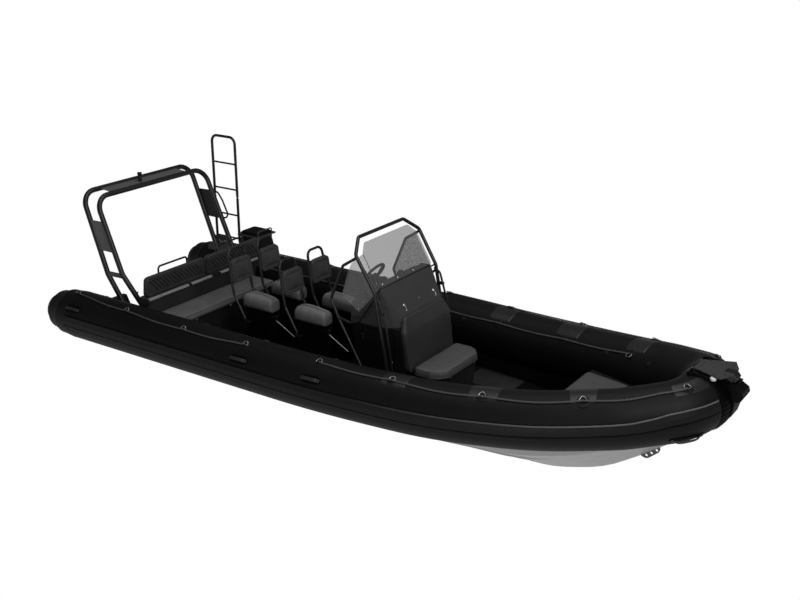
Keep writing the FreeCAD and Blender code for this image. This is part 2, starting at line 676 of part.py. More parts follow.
def ladder_eye(x, z, reach):
    """A flat tongue round a pin; reach is the signed length to the rail it ends."""
    z0, z1 = sorted((z, z + reach))
    tongue = box(x - 4, x + 4, LADDER_Y - EYE_R, LADDER_Y + EYE_R, z0, z1)
    tongue = tongue.fuse(rod_x(x - 4, x + 4, LADDER_Y, z, EYE_R))
    return tongue.cut(rod_x(x - 5, x + 5, LADDER_Y, z, 5.05))


def ladder_fork(x, z, reach):
    """Two cheeks and the pin on which the tongue turns."""
    z0, z1 = sorted((z, z + reach))
    pieces = [rod_x(x - 11, x + 11, LADDER_Y, z, 5)]
    for x0 in (x - 11, x + 5.5):
        pieces.append(box(x0, x0 + 5.5, LADDER_Y - EYE_R, LADDER_Y + EYE_R, z0, z1))
        pieces.append(rod_x(x0, x0 + 5.5, LADDER_Y, z, EYE_R))
    return pieces


def make_ladder():
    lower, upper, bracket = [], [], []
    for x in LADDER_X:
        start, end = LADDER_FOOT + HINGE_GAP, LADDER_KNEE - HINGE_GAP
        lower.append(Part.makeCylinder(RAIL_R, end - start, V(x, LADDER_Y, start)))
        lower.append(ladder_eye(x, LADDER_FOOT, HINGE_GAP + 4))
        lower.append(ladder_eye(x, LADDER_KNEE, -HINGE_GAP - 4))
        upper = upper + ladder_fork(x, LADDER_KNEE, HINGE_GAP + 4)
        bracket = bracket + ladder_fork(x, LADDER_FOOT, -65)
    rungs = ((lower, (925, 1250)), (upper, (1604, 1954)))
    for side, heights in rungs:
        for z in heights:
            side.append(rod_x(LADDER_X[0], LADDER_X[1], LADDER_Y, z, 12))
    start = LADDER_KNEE + HINGE_GAP
    loop = [(LADDER_X[0], LADDER_Y, start), (LADDER_X[0], LADDER_Y, LADDER_TOP),
            (LADDER_X[1], LADDER_Y, LADDER_TOP), (LADDER_X[1], LADDER_Y, start)]
    upper.append(tube(loop, RAIL_R, 90))
    parts["ladder_lower"] = fused(lower)
    parts["ladder_upper"] = fused(upper)
    plate = box(-3590, -3035, 1060, 1300, 700, 800).cut(parts["collar_port"]).cut(parts["stern_cones"])
    parts["ladder_bracket"] = fused([largest(plate)] + bracket)
    # stepping platform on the tube, ahead of the ladder
    top = box(-3078, -2720, 1110, 1480, 1002, 1022)
    legs = [box(x, x + 30, y, y + 30, 700, 1010) for x in (-3020, -2780) for y in (1130, 1380)]
    step = fused([top] + legs).cut(parts["collar_port"])
    bail = tube([(-2750, 1150, 1015), (-2750, 1150, 1085), (-2750, 1430, 1085), (-2750, 1430, 1015)], 9, 30)
    parts["boarding_step"] = largest(fused([step, bail]))


def main():
    make_collar()
    make_rub_strakes()
    make_handles()
    make_hull()
    make_transom()
    make_bow_deck()
    make_bow_fittings()
    make_console()
    make_console_rails()
    make_steering()
    make_console_seat()
    make_jockey_seats()
    make_bench()
    make_arch()
    make_ladder()
    os.makedirs("parts", exist_ok=True)
    for name, shape in parts.items():
        print(name, "valid" if shape.isValid() else "INVALID", len(shape.Solids), round(shape.Volume / 1e6, 2))
        shape.exportStep("parts/%s.step" % name)


main()
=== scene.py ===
"""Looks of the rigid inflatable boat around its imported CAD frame: metres, X ahead, Y port, Z up."""

from math import copysign, cos, exp, hypot, pi, radians, sin, sqrt, tan, tau

import bmesh
import bpy
from mathutils import Matrix, Vector


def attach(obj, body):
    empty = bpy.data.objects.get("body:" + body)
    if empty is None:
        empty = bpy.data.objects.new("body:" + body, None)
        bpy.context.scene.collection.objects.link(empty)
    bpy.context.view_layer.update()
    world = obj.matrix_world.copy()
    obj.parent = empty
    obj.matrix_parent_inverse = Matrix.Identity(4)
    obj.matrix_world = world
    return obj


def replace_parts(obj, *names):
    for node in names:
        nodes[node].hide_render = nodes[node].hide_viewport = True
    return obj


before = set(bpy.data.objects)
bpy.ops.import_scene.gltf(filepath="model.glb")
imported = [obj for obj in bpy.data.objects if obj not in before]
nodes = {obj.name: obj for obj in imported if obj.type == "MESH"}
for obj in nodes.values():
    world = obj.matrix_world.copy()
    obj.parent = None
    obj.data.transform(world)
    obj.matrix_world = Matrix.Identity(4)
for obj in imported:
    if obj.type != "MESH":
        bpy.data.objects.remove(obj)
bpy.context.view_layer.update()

# Sizes shared with the frame -----------------------------------------------------------
COLLAR_R = 0.290
COLLAR_Y, COLLAR_Z = 1.215, 0.490       # the straight side tubes' centre
TUBE_END_X, CONE_END_X = -3.560, -4.050
KEEL_Z, DECK_Z = -0.386, 0.110
COLLAR_CORNERS = [
    (TUBE_END_X, COLLAR_Y, COLLAR_Z),
    (0.200, COLLAR_Y, COLLAR_Z),
    (1.500, 1.105, 0.505),
    (2.500, 0.905, 0.590),
    (3.250, 0.640, 0.715),
    (3.700, 0.376, 0.812),
    (3.815, 0.150, 0.855),
]
SEATS = [Vector((x, y, 0)) for x in (-1.748, -0.964) for y in (0.258, -0.258)]
SIDES = ((1, "port"), (-1, "starboard"))
UP, AHEAD, ASTERN = (0, 0, 1), (1, 0, 0), (-1, 0, 0)


# Materials -----------------------------------------------------------------------------
class Nodes:
    """Short spellings for building the node tree of a material or of the world."""

    def __init__(self, owner):
        owner.use_nodes = True
        self.owner, self.tree = owner, owner.node_tree
        self.tree.nodes.clear()
        coords = self.add("TexCoord").outputs
        self.place, self.facing, self.way = coords["Object"], coords["Normal"], coords["Generated"]

    def add(self, kind, sockets=None, **values):
        """A node with its properties set; sockets gives inputs a constant or another output."""
        node = self.tree.nodes.new("ShaderNode" + kind)
        for key, value in values.items():
            setattr(node, key, value)
        for key, value in (sockets or {}).items():
            if isinstance(value, bpy.types.NodeSocket):
                self.tree.links.new(value, node.inputs[key])
            elif value is not None:
                node.inputs[key].default_value = value
        return node

    def mapped(self, stretch=(1, 1, 1)):
        return self.add("Mapping", {"Vector": self.place, "Scale": stretch}).outputs["Vector"]

    def noise(self, scale, detail=3.0, rough=0.55, stretch=(1, 1, 1)):
        return self.add("TexNoise", {"Vector": self.mapped(stretch), "Scale": scale, "Detail": detail,
                                     "Roughness": rough}).outputs["Fac"]

    def cells(self, scale):
        return self.add("TexVoronoi", {"Vector": self.mapped(), "Scale": scale}).outputs["Distance"]

    def grains(self, scale):
        return self.ramp(self.cells(scale), (0.1, 0.5), (1.0, 0.0))

    def waves(self, scale, direction):
        return self.add("TexWave", {"Vector": self.mapped(), "Scale": scale},
                        bands_direction=direction).outputs["Fac"]

    def ramp(self, factor, places, tones):
        """Turns a factor into grey levels or colours, given at rising places from 0 to 1."""
        node = self.add("ValToRGB", {"Fac": factor})
        for place in places[1:-1]:
            node.color_ramp.elements.new(place)
        for element, place, tone in zip(node.color_ramp.elements, places, tones):
            element.position = place
            element.color = (*tone, 1) if isinstance(tone, tuple) else (tone, tone, tone, 1)
        return node.outputs["Color"]

    def mottle(self, noise, places, tones):
        """A ramp over noise, which is (scale, detail, roughness, stretch) or the first of these."""
        return self.ramp(self.noise(*noise), places, tones)

    def maths(self, operation, first, second):
        return self.add("Math", {0: first, 1: second}, operation=operation).outputs["Value"]

    def split(self, vector):
        return self.add("SeparateXYZ", {"Vector": vector}).outputs

    def mixed(self, factor, first, second):
        return self.add("Mix", {"Factor": factor, 6: first, 7: second}, data_type="RGBA").outputs[2]

    def bump(self, height, depth, strength=1.0, before=None):
        return self.add("Bump", {"Height": height, "Distance": depth, "Strength": strength,
                                 "Normal": before}).outputs["Normal"]

    def rounded(self, radius):
        return self.add("Bevel", {"Radius": radius}, samples=4).outputs["Normal"]

    def inboard(self, least):
        """1 on faces that look towards the centreline."""
        across = self.maths("MULTIPLY", self.split(self.facing)["Y"], self.split(self.place)["Y"])
        return self.maths("LESS_THAN", across, -least)

    def finish(self, colour, rough, normal, specular=0.5, **constants):
        shader = self.add("BsdfPrincipled", {"Base Color": colour, "Roughness": rough, "Normal": normal,
                                             "Specular IOR Level": specular, **constants})
        self.add("OutputMaterial", {"Surface": shader.outputs["BSDF"]})
        return self.owner


def material_nodes(name):
    return Nodes(bpy.data.materials.new(name))


def grey(dark, light, warm=0.0):
    """Two tones of a grey, a little blue where warm is negative."""
    return [(tone * (1 + warm), tone, tone * (1 - warm)) for tone in (dark, light)]


RUBBER_SHINE = (60, 4), (0.3, 0.7), (0.42, 0.62)
PAINT_DRIFT, PAINT_SHINE = (3.1, 4, 0.55), ((22, 5, 0.7), (0.3, 0.72))


def surface(name, colour, rough, bumps, specular=0.5, edge=0, **constants):
    """A material: colour and rough are (noise, places, tones), bumps (kind, its values, depth, strength)."""
    n = material_nodes(name)
    normal = n.rounded(edge) if edge else None
    for kind, values, depth, strength in bumps:
        normal = n.bump(getattr(n, kind)(*values), depth, strength, normal)
    return n.finish(n.mottle(*colour), n.mottle(*rough), normal, specular, **constants)


def coated_fabric(name, dark, light, rough, specular):
    """Rubber-coated cloth: a fine woven grain under the coating, broad unevenness, faint scuffs."""
    weave = [("waves", (170, way), 0.00010, 0.5) for way in "XZ"]
    return surface(name, ((2.3, 5, 0.6), (0.30, 0.72), grey(dark, light, -0.02)),
                   ((34, 6, 0.72, (1, 2.2, 2.2)), (0.35, 0.75), rough),
                   weave + [("noise", (9, 4, 0.5), 0.0022, 0.5)], specular)


def moulded_rubber(name, dark, light, ribs=None, specular=0.4):
    bumps = [("noise", (420, 2), 0.0003, 0.6)] + ([("waves", (ribs, "Z"), 0.002, 0.7)] if ribs else [])
    return surface(name, ((14, 5, 0.65), (0.3, 0.75), grey(dark, light)), RUBBER_SHINE, bumps, specular, 0.003)


def painted_highlight_edge(name, dull, bright, start, end):
    """Rubber bead with a painted highlight: its colour runs from dull to bright towards the bow between two
    stations along X, broken up by noise.
    """
    n = material_nodes(name)
    along = {"Value": n.split(n.place)["X"], "From Min": start, "From Max": end}
    highlight_share = n.maths("MULTIPLY", n.add("MapRange", along).outputs["Result"],
                   n.mottle((6, 4), (0.2, 0.8), (0.8, 1.0)))
    return n.finish(n.ramp(highlight_share, (0, 1), (dull, bright)), n.mottle(*RUBBER_SHINE),
                    n.bump(n.noise(420, 2), 0.0003, 0.6), 0.3)


def paint(name, dark, light, rough, edge=0.002, grain=0.0004, specular=0.45):
    """Sprayed or powder coat: slight orange peel and a tone that drifts, with softened edges."""
    return surface(name, (PAINT_DRIFT, (0.25, 0.78), grey(dark, light)), (*PAINT_SHINE, rough),
                   [("noise", (240, 2), grain, 0.5)], specular, edge)


def two_tone(name, dark, light, inside):
    """Powder coat on plates whose inboard faces are finished black."""
    n = material_nodes(name)
    drift = n.noise(*PAINT_DRIFT)
    colour = n.mixed(n.inboard(0.3), n.ramp(drift, (0.25, 0.78), (dark, light)),
                     n.ramp(drift, (0.25, 0.78), (inside, inside * 1.6)))
    return n.finish(colour, n.mottle(*PAINT_SHINE, (0.42, 0.6)),
                    n.bump(n.noise(240, 2), 0.0004, 0.5, n.rounded(0.002)), 0.4)


def gelcoat(name, dark, light, inside):
    """Hull paint that gives way to dark deck paint on the ledge and walls inside the boat."""
    n = material_nodes(name)
    drift = n.noise(0.8, 4, 0.5)
    upward = n.maths("GREATER_THAN", n.split(n.facing)["Z"], 0.9)
    within = n.maths("GREATER_THAN", n.split(n.place)["Z"], 0.09)
    indoors = n.maths("MULTIPLY", n.maths("MAXIMUM", n.inboard(0.02), upward), within)
    colour = n.mixed(indoors, n.ramp(drift, (0.25, 0.78), grey(dark, light, -0.01)),
                     n.ramp(drift, (0.3, 0.7), (inside, inside * 1.8)))
    shine = n.mottle((9, 5, 0.7), (0.3, 0.72), (0.22, 0.36))
    return n.finish(colour, shine, n.bump(n.noise(30, 2), 0.0003, 0.4, n.rounded(0.004)), 0.35)


def nonskid(name, dark, light, pitch=150):
    """Deck paint over moulded non-slip grains."""
    return surface(name, ((4, 6, 0.65), (0.28, 0.76), grey(dark, light)), ((45, 4), (0.3, 0.7), (0.6, 0.85)),
                   [("grains", (pitch,), 0.0012, 0.8)], 0.1, 0.002)


def metal(name, dark, light, rough=(0.22, 0.4)):
    """Bare metal with fine brushing along one way."""
    brushed = (90, 5, 0.7, (1, 1, 14))
    return surface(name, ((11, 4), (0.3, 0.7), grey(dark, light)), (brushed, (0.3, 0.7), rough),
                   [("noise", brushed, 0.00015, 0.4)], edge=0.0012, Metallic=1.0)


def vinyl(name, dark, light, rough=(0.42, 0.6)):
    """Upholstery vinyl: pebbled leather grain with fine creases and a soft sheen."""
    return surface(name, ((7, 6, 0.62), (0.28, 0.74), grey(dark, light, -0.01)), ((55, 4), (0.3, 0.72), rough),
                   [("cells", (520,), 0.0006, 0.55), ("noise", (16, 6, 0.6), 0.003, 0.35)], 0.4)


def glazing(name, tone, clear):
    """Tinted acrylic sheet, seen as a see-through skin with faint smears."""
    return surface(name, ((3, 3), (0.3, 0.7), grey(tone * 0.94, tone)),
                   ((8, 5, 0.7), (0.35, 0.8), (0.03, 0.12)), [("noise", (5, 2), 0.0008, 0.2)], Alpha=clear)


def twisted_rope(name, dark, light):
    strands = (900, 3, 0.6)
    return surface(name, (strands, (0.3, 0.7), grey(dark, light)), ((80, 3), (0.3, 0.7), (0.65, 0.85)),
                   [("noise", strands, 0.0006, 0.8)], 0.3)


slot_of = {}


def look(material, slot, *names):
    """Puts a material on CAD nodes, and notes its slot in slot_of."""
    slot_of[material.name] = slot
    for name in names:
        nodes[name].data.materials.clear()
        nodes[name].data.materials.append(material)
    return material


FABRIC = look(coated_fabric("collar_fabric", 0.0022, 0.0036, (0.5, 0.66), 0.22), "hypalon",
              "collar_port", "collar_starboard", "collar_bow", "stern_cones")
PATCH = look(coated_fabric("patch_fabric", 0.0022, 0.0036, (0.48, 0.64), 0.24), "hypalon")
WRAP = look(coated_fabric("wrap_fabric", 0.008, 0.013, (0.36, 0.5), 0.45), "hypalon")
look(moulded_rubber("strake_rubber", 0.003, 0.005, specular=0.28), "black_rubber", "rub_strakes")
# painted highlight: the strake's upper bead is coloured pale towards the bow
STRAKE_EDGE = look(painted_highlight_edge("strake_ridge_rubber", 0.004, 0.115, 0.6, 2.9), "black_rubber")
GRIP = look(moulded_rubber("grip_rubber", 0.016, 0.026), "black_rubber")
# near-black rubber with almost no gloss: real black parts, and beads that paint shade under the rub strake and
# in the bench channels
RUBBER_DARK = look(moulded_rubber("welt_rubber", 0.0008, 0.0016, specular=0.06), "black_rubber")
RUBBER = look(moulded_rubber("black_rubber", 0.007, 0.012), "black_rubber",
              "carry_handles", "bow_roller", "steering_wheel")
look(moulded_rubber("fender_rubber", 0.0010, 0.0020, 14, 0.12), "black_rubber", "bow_fender")
look(gelcoat("hull_gelcoat", 0.43, 0.49, 0.0014), "hull_paint", "hull")
look(nonskid("deck_nonskid", 0.0012, 0.0025), "deck_paint", "deck")
look(nonskid("bow_deck_nonskid", 0.008, 0.013), "deck_paint", "bow_deck")
BOARD = look(paint("board_black", 0.012, 0.018, (0.4, 0.6)), "deck_paint",
             "transom", "bench_base", "console_seat_base")
look(paint("console_paint", 0.004, 0.007, (0.42, 0.6), 0.006, 0.0005, 0.25), "console_paint", "console")
look(paint("console_pod_paint", 0.033, 0.044, (0.4, 0.55), 0.005, 0.0006), "console_paint", "console_pod")
BASE = look(paint("seat_base_black", 0.0012, 0.0025, (0.5, 0.7), 0.004, 0.0006, 0.12), "black_rubber",
            "jockey_pods", "helm")
BLACK = look(paint("frame_powder_coat", 0.006, 0.010, (0.32, 0.46), 0.002, 0.0003, 0.5), "frame_black",
             "guard_hoop", "console_rails", "jockey_frames", "grab_rails", "arch_front", "arch_rear",
             "arch_light", "ladder_lower", "ladder_upper", "ladder_bracket", "throttle")
look(two_tone("plate_powder_coat", 0.120, 0.150, 0.0025), "plate_grey", "arch_plates", "arch_plank")
look(paint("step_powder_coat", 0.032, 0.046, (0.45, 0.65), 0.003), "plate_grey", "boarding_step", "bow_step")
TREAD = look(nonskid("tread_black", 0.007, 0.012, 220), "black_rubber")
look(paint("shelf_paint", 0.022, 0.030, (0.4, 0.55), 0.003), "console_paint", "bench_back", "bench_lid")
VINYL = look(vinyl("cushion_vinyl", 0.032, 0.044), "cushion",
             "console_seat_lid", "bow_locker_lid", "console_backrest", "jockey_cushions",
             "jockey_backrests", "bench_backrests")
VINYL_DARK = look(vinyl("cushion_vinyl_dark", 0.024, 0.034), "cushion")
# painted light: a paler copy of the cushion vinyl for the upward-facing console seat and bow locker lid
VINYL_SEAT_LIT = look(vinyl("cushion_vinyl_seat_lit", 0.070, 0.092), "cushion")
# painted light: the saddles' vinyl is a much paler copy of the cushion vinyl, for the light on their tops
VINYL_SADDLE_LIT = look(vinyl("saddle_vinyl_lit", 0.150, 0.210, (0.36, 0.5)), "cushion")
# painted light: a paler copy of the cushion vinyl for the bench seat's lit top
VINYL_BENCH_LIT = look(vinyl("bench_vinyl_lit", 0.125, 0.160), "cushion")
PIPING = look(vinyl("cushion_piping", 0.040, 0.055, (0.3, 0.45)), "cushion")
SCREEN = look(glazing("screen_acrylic", 0.13, 0.44), "glass", "windscreen", "screen_wings")
WING = look(glazing("wing_acrylic", 0.34, 0.40), "glass")
DARK_GLASS = look(paint("dark_glass", 0.004, 0.007, (0.06, 0.12), 0.001, 0.0001, 0.6), "glass")
# painted light: the hatches' paint is paler than the deck's, for light falling on the foredeck
HATCH_LIT = look(nonskid("hatch_nonskid_lit", 0.020, 0.030), "deck_paint")
BRIGHT = look(paint("bright_paint", 0.28, 0.36, (0.3, 0.45), 0.002, 0.0002), "bright_alloy")
LAMP_METAL = look(metal("polished_fitting", 0.60, 0.75, (0.15, 0.28)), "bright_alloy")
STEEL = look(metal("stainless_steel", 0.42, 0.55), "stainless")
ALLOY = look(metal("bright_alloy", 0.30, 0.42, (0.3, 0.5)), "bright_alloy", "foot_bars")
look(metal("dark_alloy", 0.10, 0.17, (0.35, 0.5)), "stainless", "tow_eye")
ROPE = look(twisted_rope("life_line", 0.050, 0.095), "black_rubber")
LAMP = look(paint("lamp_lens", 0.55, 0.7, (0.1, 0.2), 0.002, 0.0001, 0.6), "bright_alloy", "bow_lamps")
assert all(node.data.materials[0].name in slot_of for node in nodes.values()), "a CAD node is bare"


# Mesh building -------------------------------------------------------------------------
def smooth_step(t):
    t = max(0.0, min(1.0, t))
    return t * t * (3 - 2 * t)


def between(table, x, column=1):
    """A column of the table at x, on straight lines between its rows."""
    for low, high in zip(table, table[1:]):
        if x <= high[0]:
            share = max(0.0, (x - low[0]) / (high[0] - low[0]))
            return low[column] + share * (high[column] - low[column])
    return table[-1][column]


def square_to(axis):
    """Two unit vectors across an axis."""
    guess = Vector(UP) if abs(axis.z) < 0.9 else Vector(AHEAD)
    first = axis.cross(guess).normalized()
    return first, axis.cross(first)


MM = 0.001
STRANDS, LAY, STRAND_DEPTH = 3, 58.0, 0.20      # a laid rope: its strands, their turn per metre, relief


class Build:
    """Collects many small closed shapes into one piece."""

    def __init__(self):
        self.verts, self.faces = [], []

    def add(self, verts, faces):
        first = len(self.verts)
        self.verts += [tuple(v) for v in verts]
        self.faces += [tuple(first + i for i in face) for face in faces]

    def rings(self, rings, closed=False):
        """Joins rings of equal count into a skin, capped at its ends unless it closes on itself."""
        count = len(rings[0])
        faces = []
        for n in range(len(rings) if closed else len(rings) - 1):
            a, b = n * count, ((n + 1) % len(rings)) * count
            for i in range(count):
                j = (i + 1) % count
                faces.append((a + i, a + j, b + j, b + i))
        if not closed:
            last = (len(rings) - 1) * count
            faces += [tuple(range(count))[::-1], tuple(range(last, last + count))]
        self.add([v for ring in rings for v in ring], faces)

    def pipe(self, points, radius, sides=10, closed=False, laid=False, flat=None):
        """Bar along points: round, laid like a rope, or flat webbing.

        radius is a number or one for each point. flat is (width, thickness, the way its face looks,
        or None to carry that way along the points).
        """
        points = [Vector(p) for p in points]
        rings, way_up, run = [], None, 0.0
        for n, p in enumerate(points):
            before = points[n - 1] if n or closed else p
            after = points[(n + 1) % len(points)] if n + 1 < len(points) or closed else p
            ahead = (after - before).normalized()
            if way_up is None:
                way_up = Vector(UP) if abs(ahead.z) < 0.9 else Vector((0, 1, 0))
            if flat and flat[2] is not None:
                way_up = flat[2]
            across = ahead.cross(way_up).normalized()
            way_up = across.cross(ahead).normalized()
            if n:
                run += (p - points[n - 1]).length
            ring = []
            for i in range(sides):
                angle = tau * i / sides
                c, s = cos(angle), sin(angle)
                if flat:
                    c, s = (copysign(abs(t) ** 0.5, t) for t in (c, s))
                    wide, high = flat[0] / 2, flat[1] / 2
                else:
                    wide = radius[n] if isinstance(radius, (list, tuple)) else radius
                    if laid:
                        wide *= 1 + STRAND_DEPTH * cos(STRANDS * (angle - LAY * run))
                    high = wide
                ring.append(p + across * (c * wide) + way_up * (s * high))
            rings.append(ring)
        self.rings(rings, closed)

    def lathe(self, centre, axis, shape):
        """Turned shape, closed at both ends: its sides, then (along the axis, radius) in millimetres."""
        sides, *profile = shape
        axis = Vector(axis).normalized()
        u, v = square_to(axis)
        rings = []
        for along, radius in profile:
            middle = Vector(centre) + axis * (along * MM)
            rings.append([middle + u * (radius * MM * cos(tau * i / sides))
                          + v * (radius * MM * sin(tau * i / sides)) for i in range(sides)])
        self.rings(rings)

    def block(self, centre, half, turn=Matrix.Identity(3), bevel=0.0015):
        """Chamfered block: half sizes along its own axes, turned by a 3x3 matrix."""
        hx, hy, hz = half
        b = min(bevel, *(h * 0.45 for h in half))
        plan = [(hx - b, hy), (-hx + b, hy), (-hx, hy - b), (-hx, -hy + b), (-hx + b, -hy), (hx - b, -hy),
                (hx, -hy + b), (hx, hy - b)]
        rings = []
        for z, inset in ((-hz, b), (-hz + b, 0), (hz - b, 0), (hz, b)):
            shrunk = [[copysign(max(abs(t) - inset, 0), t) for t in spot] for spot in plan]
            rings.append([Vector(centre) + turn @ Vector((*spot, z)) for spot in shrunk])
        self.rings(rings)

    def soft(self, name, material, body="boat", slot=None):
        """Makes the piece, smooth all over, riding on a body; slot is not used."""
        mesh = bpy.data.meshes.new(name)
        mesh.from_pydata(self.verts, [], self.faces)
        mesh.materials.append(material)
        mesh.polygons.foreach_set("use_smooth", [True] * len(mesh.polygons))
        mesh.update()
        piece = bpy.data.objects.new(name, mesh)
        bpy.context.scene.collection.objects.link(piece)
        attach(piece, body)
        return piece

    def crisp(self, name, material, body="boat", angle=35, slot=None):
        """Makes the piece, smooth but for the edges that are sharper than the angle."""
        piece = self.soft(name, material, body, slot)
        edit = bmesh.new()
        edit.from_mesh(piece.data)
        bmesh.ops.recalc_face_normals(edit, faces=edit.faces)
        for edge in edit.edges:
            if len(edge.link_faces) == 2:
                edge.smooth = edge.calc_face_angle(0) < radians(angle)
        edit.to_mesh(piece.data)
        edit.free()
        return piece


def arc_points(points, bend, step=0.012):
    """A polyline with its corners rounded to tangent arcs."""
    points = [Vector(p) for p in points]
    made = [points[0]]
    for before, corner, after in zip(points, points[1:], points[2:]):
        back, ahead = before - corner, after - corner
        half = back.angle(ahead) / 2
        reach = min(bend / max(tan(half), 1e-4), 0.45 * back.length, 0.45 * ahead.length)
        back.normalize()
        ahead.normalize()
        radius = reach * tan(half)
        centre = corner + (back + ahead).normalized() * (radius / sin(half))
        enter, leave = corner + back * reach - centre, corner + ahead * reach - centre
        sweep = enter.angle(leave)
        count = max(2, int(sweep * radius / step) + 1)
        for i in range(count + 1):
            done = i / count
            blend = enter * sin((1 - done) * sweep) + leave * sin(done * sweep)
            made.append(centre + blend / sin(sweep))
    made.append(points[-1])
    return made


# The collar's line ---------------------------------------------------------------------
LINE_STEP, WIDEST_BEND = 0.02, 1e6


def collar_line():
    """Points close together along the whole collar's centreline, port stern to starboard stern."""
    seam = tuple((a + b) / 2 for a, b in zip(COLLAR_CORNERS[4], COLLAR_CORNERS[5]))
    side = arc_points(COLLAR_CORNERS[:5] + [seam], WIDEST_BEND, LINE_STEP)
    half = [seam] + COLLAR_CORNERS[5:]
    nose = arc_points(half + [(x, -y, z) for x, y, z in half[::-1]], WIDEST_BEND, LINE_STEP)
    far = [Vector((p.x, -p.y, p.z)) for p in side][::-1]
    line, made = side + nose[1:] + far[1:], []
    for a, b in zip(line, line[1:]):
        count = max(1, int((b - a).length / LINE_STEP))
        made += [a.lerp(b, i / count) for i in range(count)]
    return made + [line[-1]]


LINE = collar_line()
PORT_COUNT = sum(p.y >= 0 for p in LINE)


def collar_at(place):
    """Centre and unit vectors ahead, out and up at a place (a whole or part number) along LINE."""
    place = max(0.0, min(len(LINE) - 1.001, place))
    n = int(place)
    centre = LINE[n].lerp(LINE[n + 1], place - n)
    ahead = (LINE[min(n + 3, len(LINE) - 1)] - LINE[max(n - 2, 0)]).normalized()
    out = Vector((-ahead.y, ahead.x, 0)).normalized()
    return centre, ahead, out, ahead.cross(out)


def place_at(x):
    """Where along LINE the port tube first passes x."""
    for n in range(PORT_COUNT - 1):
        if x <= LINE[n + 1].x:
            return n + max(0.0, (x - LINE[n].x) / max(LINE[n + 1].x - LINE[n].x, 1e-9))
    return float(PORT_COUNT - 1)


def on_tube(place, angle, lift=0.0, side=1):
    """Point, normal and way ahead on the tube's skin: angle up from straight outboard."""
    centre, ahead, out, up = collar_at(place)
    turn = radians(angle)
    normal = out * cos(turn) + up * sin(turn)
    point = centre + normal * (COLLAR_R + lift)
    if side < 0:
        point.y, normal.y, ahead.y = -point.y, -normal.y, -ahead.y
    return point, normal, ahead


def disc(build, x, angle, shape, side):
    """Turned piece seated on the tube."""
    point, normal, _ = on_tube(place_at(x), angle, 0, side)
    build.lathe(point, normal, shape)


FEATHER, SKIN_GAP, SUNK = 14, 0.0003, -0.002      # a patch's thin edge, its lift and its underside


def patch(build, x0, x1, low, high, thick, side, corner, steps):
    """A glued patch between two stations and two angles, with rounded corners and feathered edges."""
    start, end = place_at(x0), place_at(x1)
    columns, rows = steps
    top, under = [], []
    for i in range(columns + 1):
        for j in range(rows + 1):
            u, v = 2 * i / columns - 1, 2 * j / rows - 1
            pull = 1 - corner * 0.32 * (abs(u) ** 4) * (abs(v) ** 4)
            place = (start + end) / 2 + (end - start) / 2 * u * pull
            angle = (low + high) / 2 + (high - low) / 2 * v * pull
            rise = thick * smooth_step((1 - max(abs(u), abs(v))) * FEATHER)
            top.append(on_tube(place, angle, rise + SKIN_GAP, side)[0])
            under.append(on_tube(place, angle, SUNK, side)[0])
    wide, count, faces = rows + 1, len(top), []
    for i in range(columns):
        for j in range(rows):
            a, b = i * wide + j, (i + 1) * wide + j
            faces += [(a, b, b + 1, a + 1), (a + 1 + count, b + 1 + count, b + count, a + count)]
    border = [i * wide for i in range(columns + 1)] + [columns * wide + j for j in range(1, rows + 1)]
    border += [i * wide + rows for i in range(columns - 1, -1, -1)] + list(range(rows - 1, 0, -1))
    faces += [(b, a, a + count, b + count) for a, b in zip(border, border[1:] + border[:1])]
    build.add(top + under, [f[::-1] for f in faces] if side > 0 else faces)


# Turned shapes: sides, then (along the axis, radius) in millimetres --------------------
GRIP_FOOT = 16, (2, 22), (13, 21), (16, 17), (17, 4)
VALVE_BASE = 28, (-4, 45), (1.8, 45), (3, 41.4), (3.2, 27)
VALVE_BODY = 28, (1, 29), (6, 29), (7.5, 26.1), (7.8, 20.88), (5, 20.3)
VALVE_CAP = 28, (3, 20), (8.5, 19.6), (10.5, 17), (11, 6)
CONE_CAP = 32, (-12, 99), (2, 99), (6.5, 90), (7, 30)
LAMP_LENS = 24, (0, 6), (4, 22), (12, 30.5), (24, 33), (36, 30), (43, 18)
STEP_BOLT = 12, (0, 10), (4, 10), (7, 6), (8, 2)
ROLLER_NUT = 12, (0, 12), (6, 12), (9, 8), (10, 3)
KNUCKLE = 20, (0, 6.6), (0.8, 7), (29.2, 7), (30, 6.6)
WHEEL_HUB = 32, (0, 30), (10, 34), (40, 38), (70, 40), (79, 34), (82, 12)
HUB_CAP = 24, (0.5, 20), (3, 19), (4.5, 10)
GAUGE_RIM = 32, (0, 34), (5, 34), (7, 30), (6.5, 28)
GAUGE_GLASS = 32, (0, 27), (1.2, 26)
DASH_KNOB = 18, (0, 13), (6, 13), (13, 10), (15, 6)
COMPASS_RIM = 32, (0, 50), (12, 50), (30, 42), (34, 36)
COMPASS_BOWL = 28, (0, 36), (12, 34), (22, 25), (28, 12), (29, 3)
EYE_LARGE = 20, (0, 19), (5, 19), (11, 15), (14, 8)
EYE_SMALL = 18, (0, 14), (4, 14), (10, 10), (12, 4)
CONSOLE_STUD = 18, (0, 10), (4, 10), (6, 5)
DOOR_LATCH = 24, (0, 26), (3, 26), (4, 22), (2.5, 18), (4, 6)
DECK_PLATE = 36, (0.5, 75), (3, 75), (4.5, 70), (4, 60), (4.6, 52), (4.6, 6)
SEAT_SCREW = 12, (-1, 9), (2, 9), (4, 6), (5, 2)
SEAT_KNOB = 20, (0, 16), (6, 16), (14, 21), (22, 19), (24, 10)
SEAT_STUD = 14, (0, 10), (8, 10), (11, 6)
FLANGE_BOLT = 6, (0, 5.5), (4, 5.5), (5, 4)
ARCH_LAMP = 24, (0, 22), (8, 29), (18, 22), (34, 24), (50, 31), (60, 31), (68, 24)
TRANSOM_PLATE = 28, (0.5, 50), (4, 50), (6, 44), (5, 30), (6, 6)
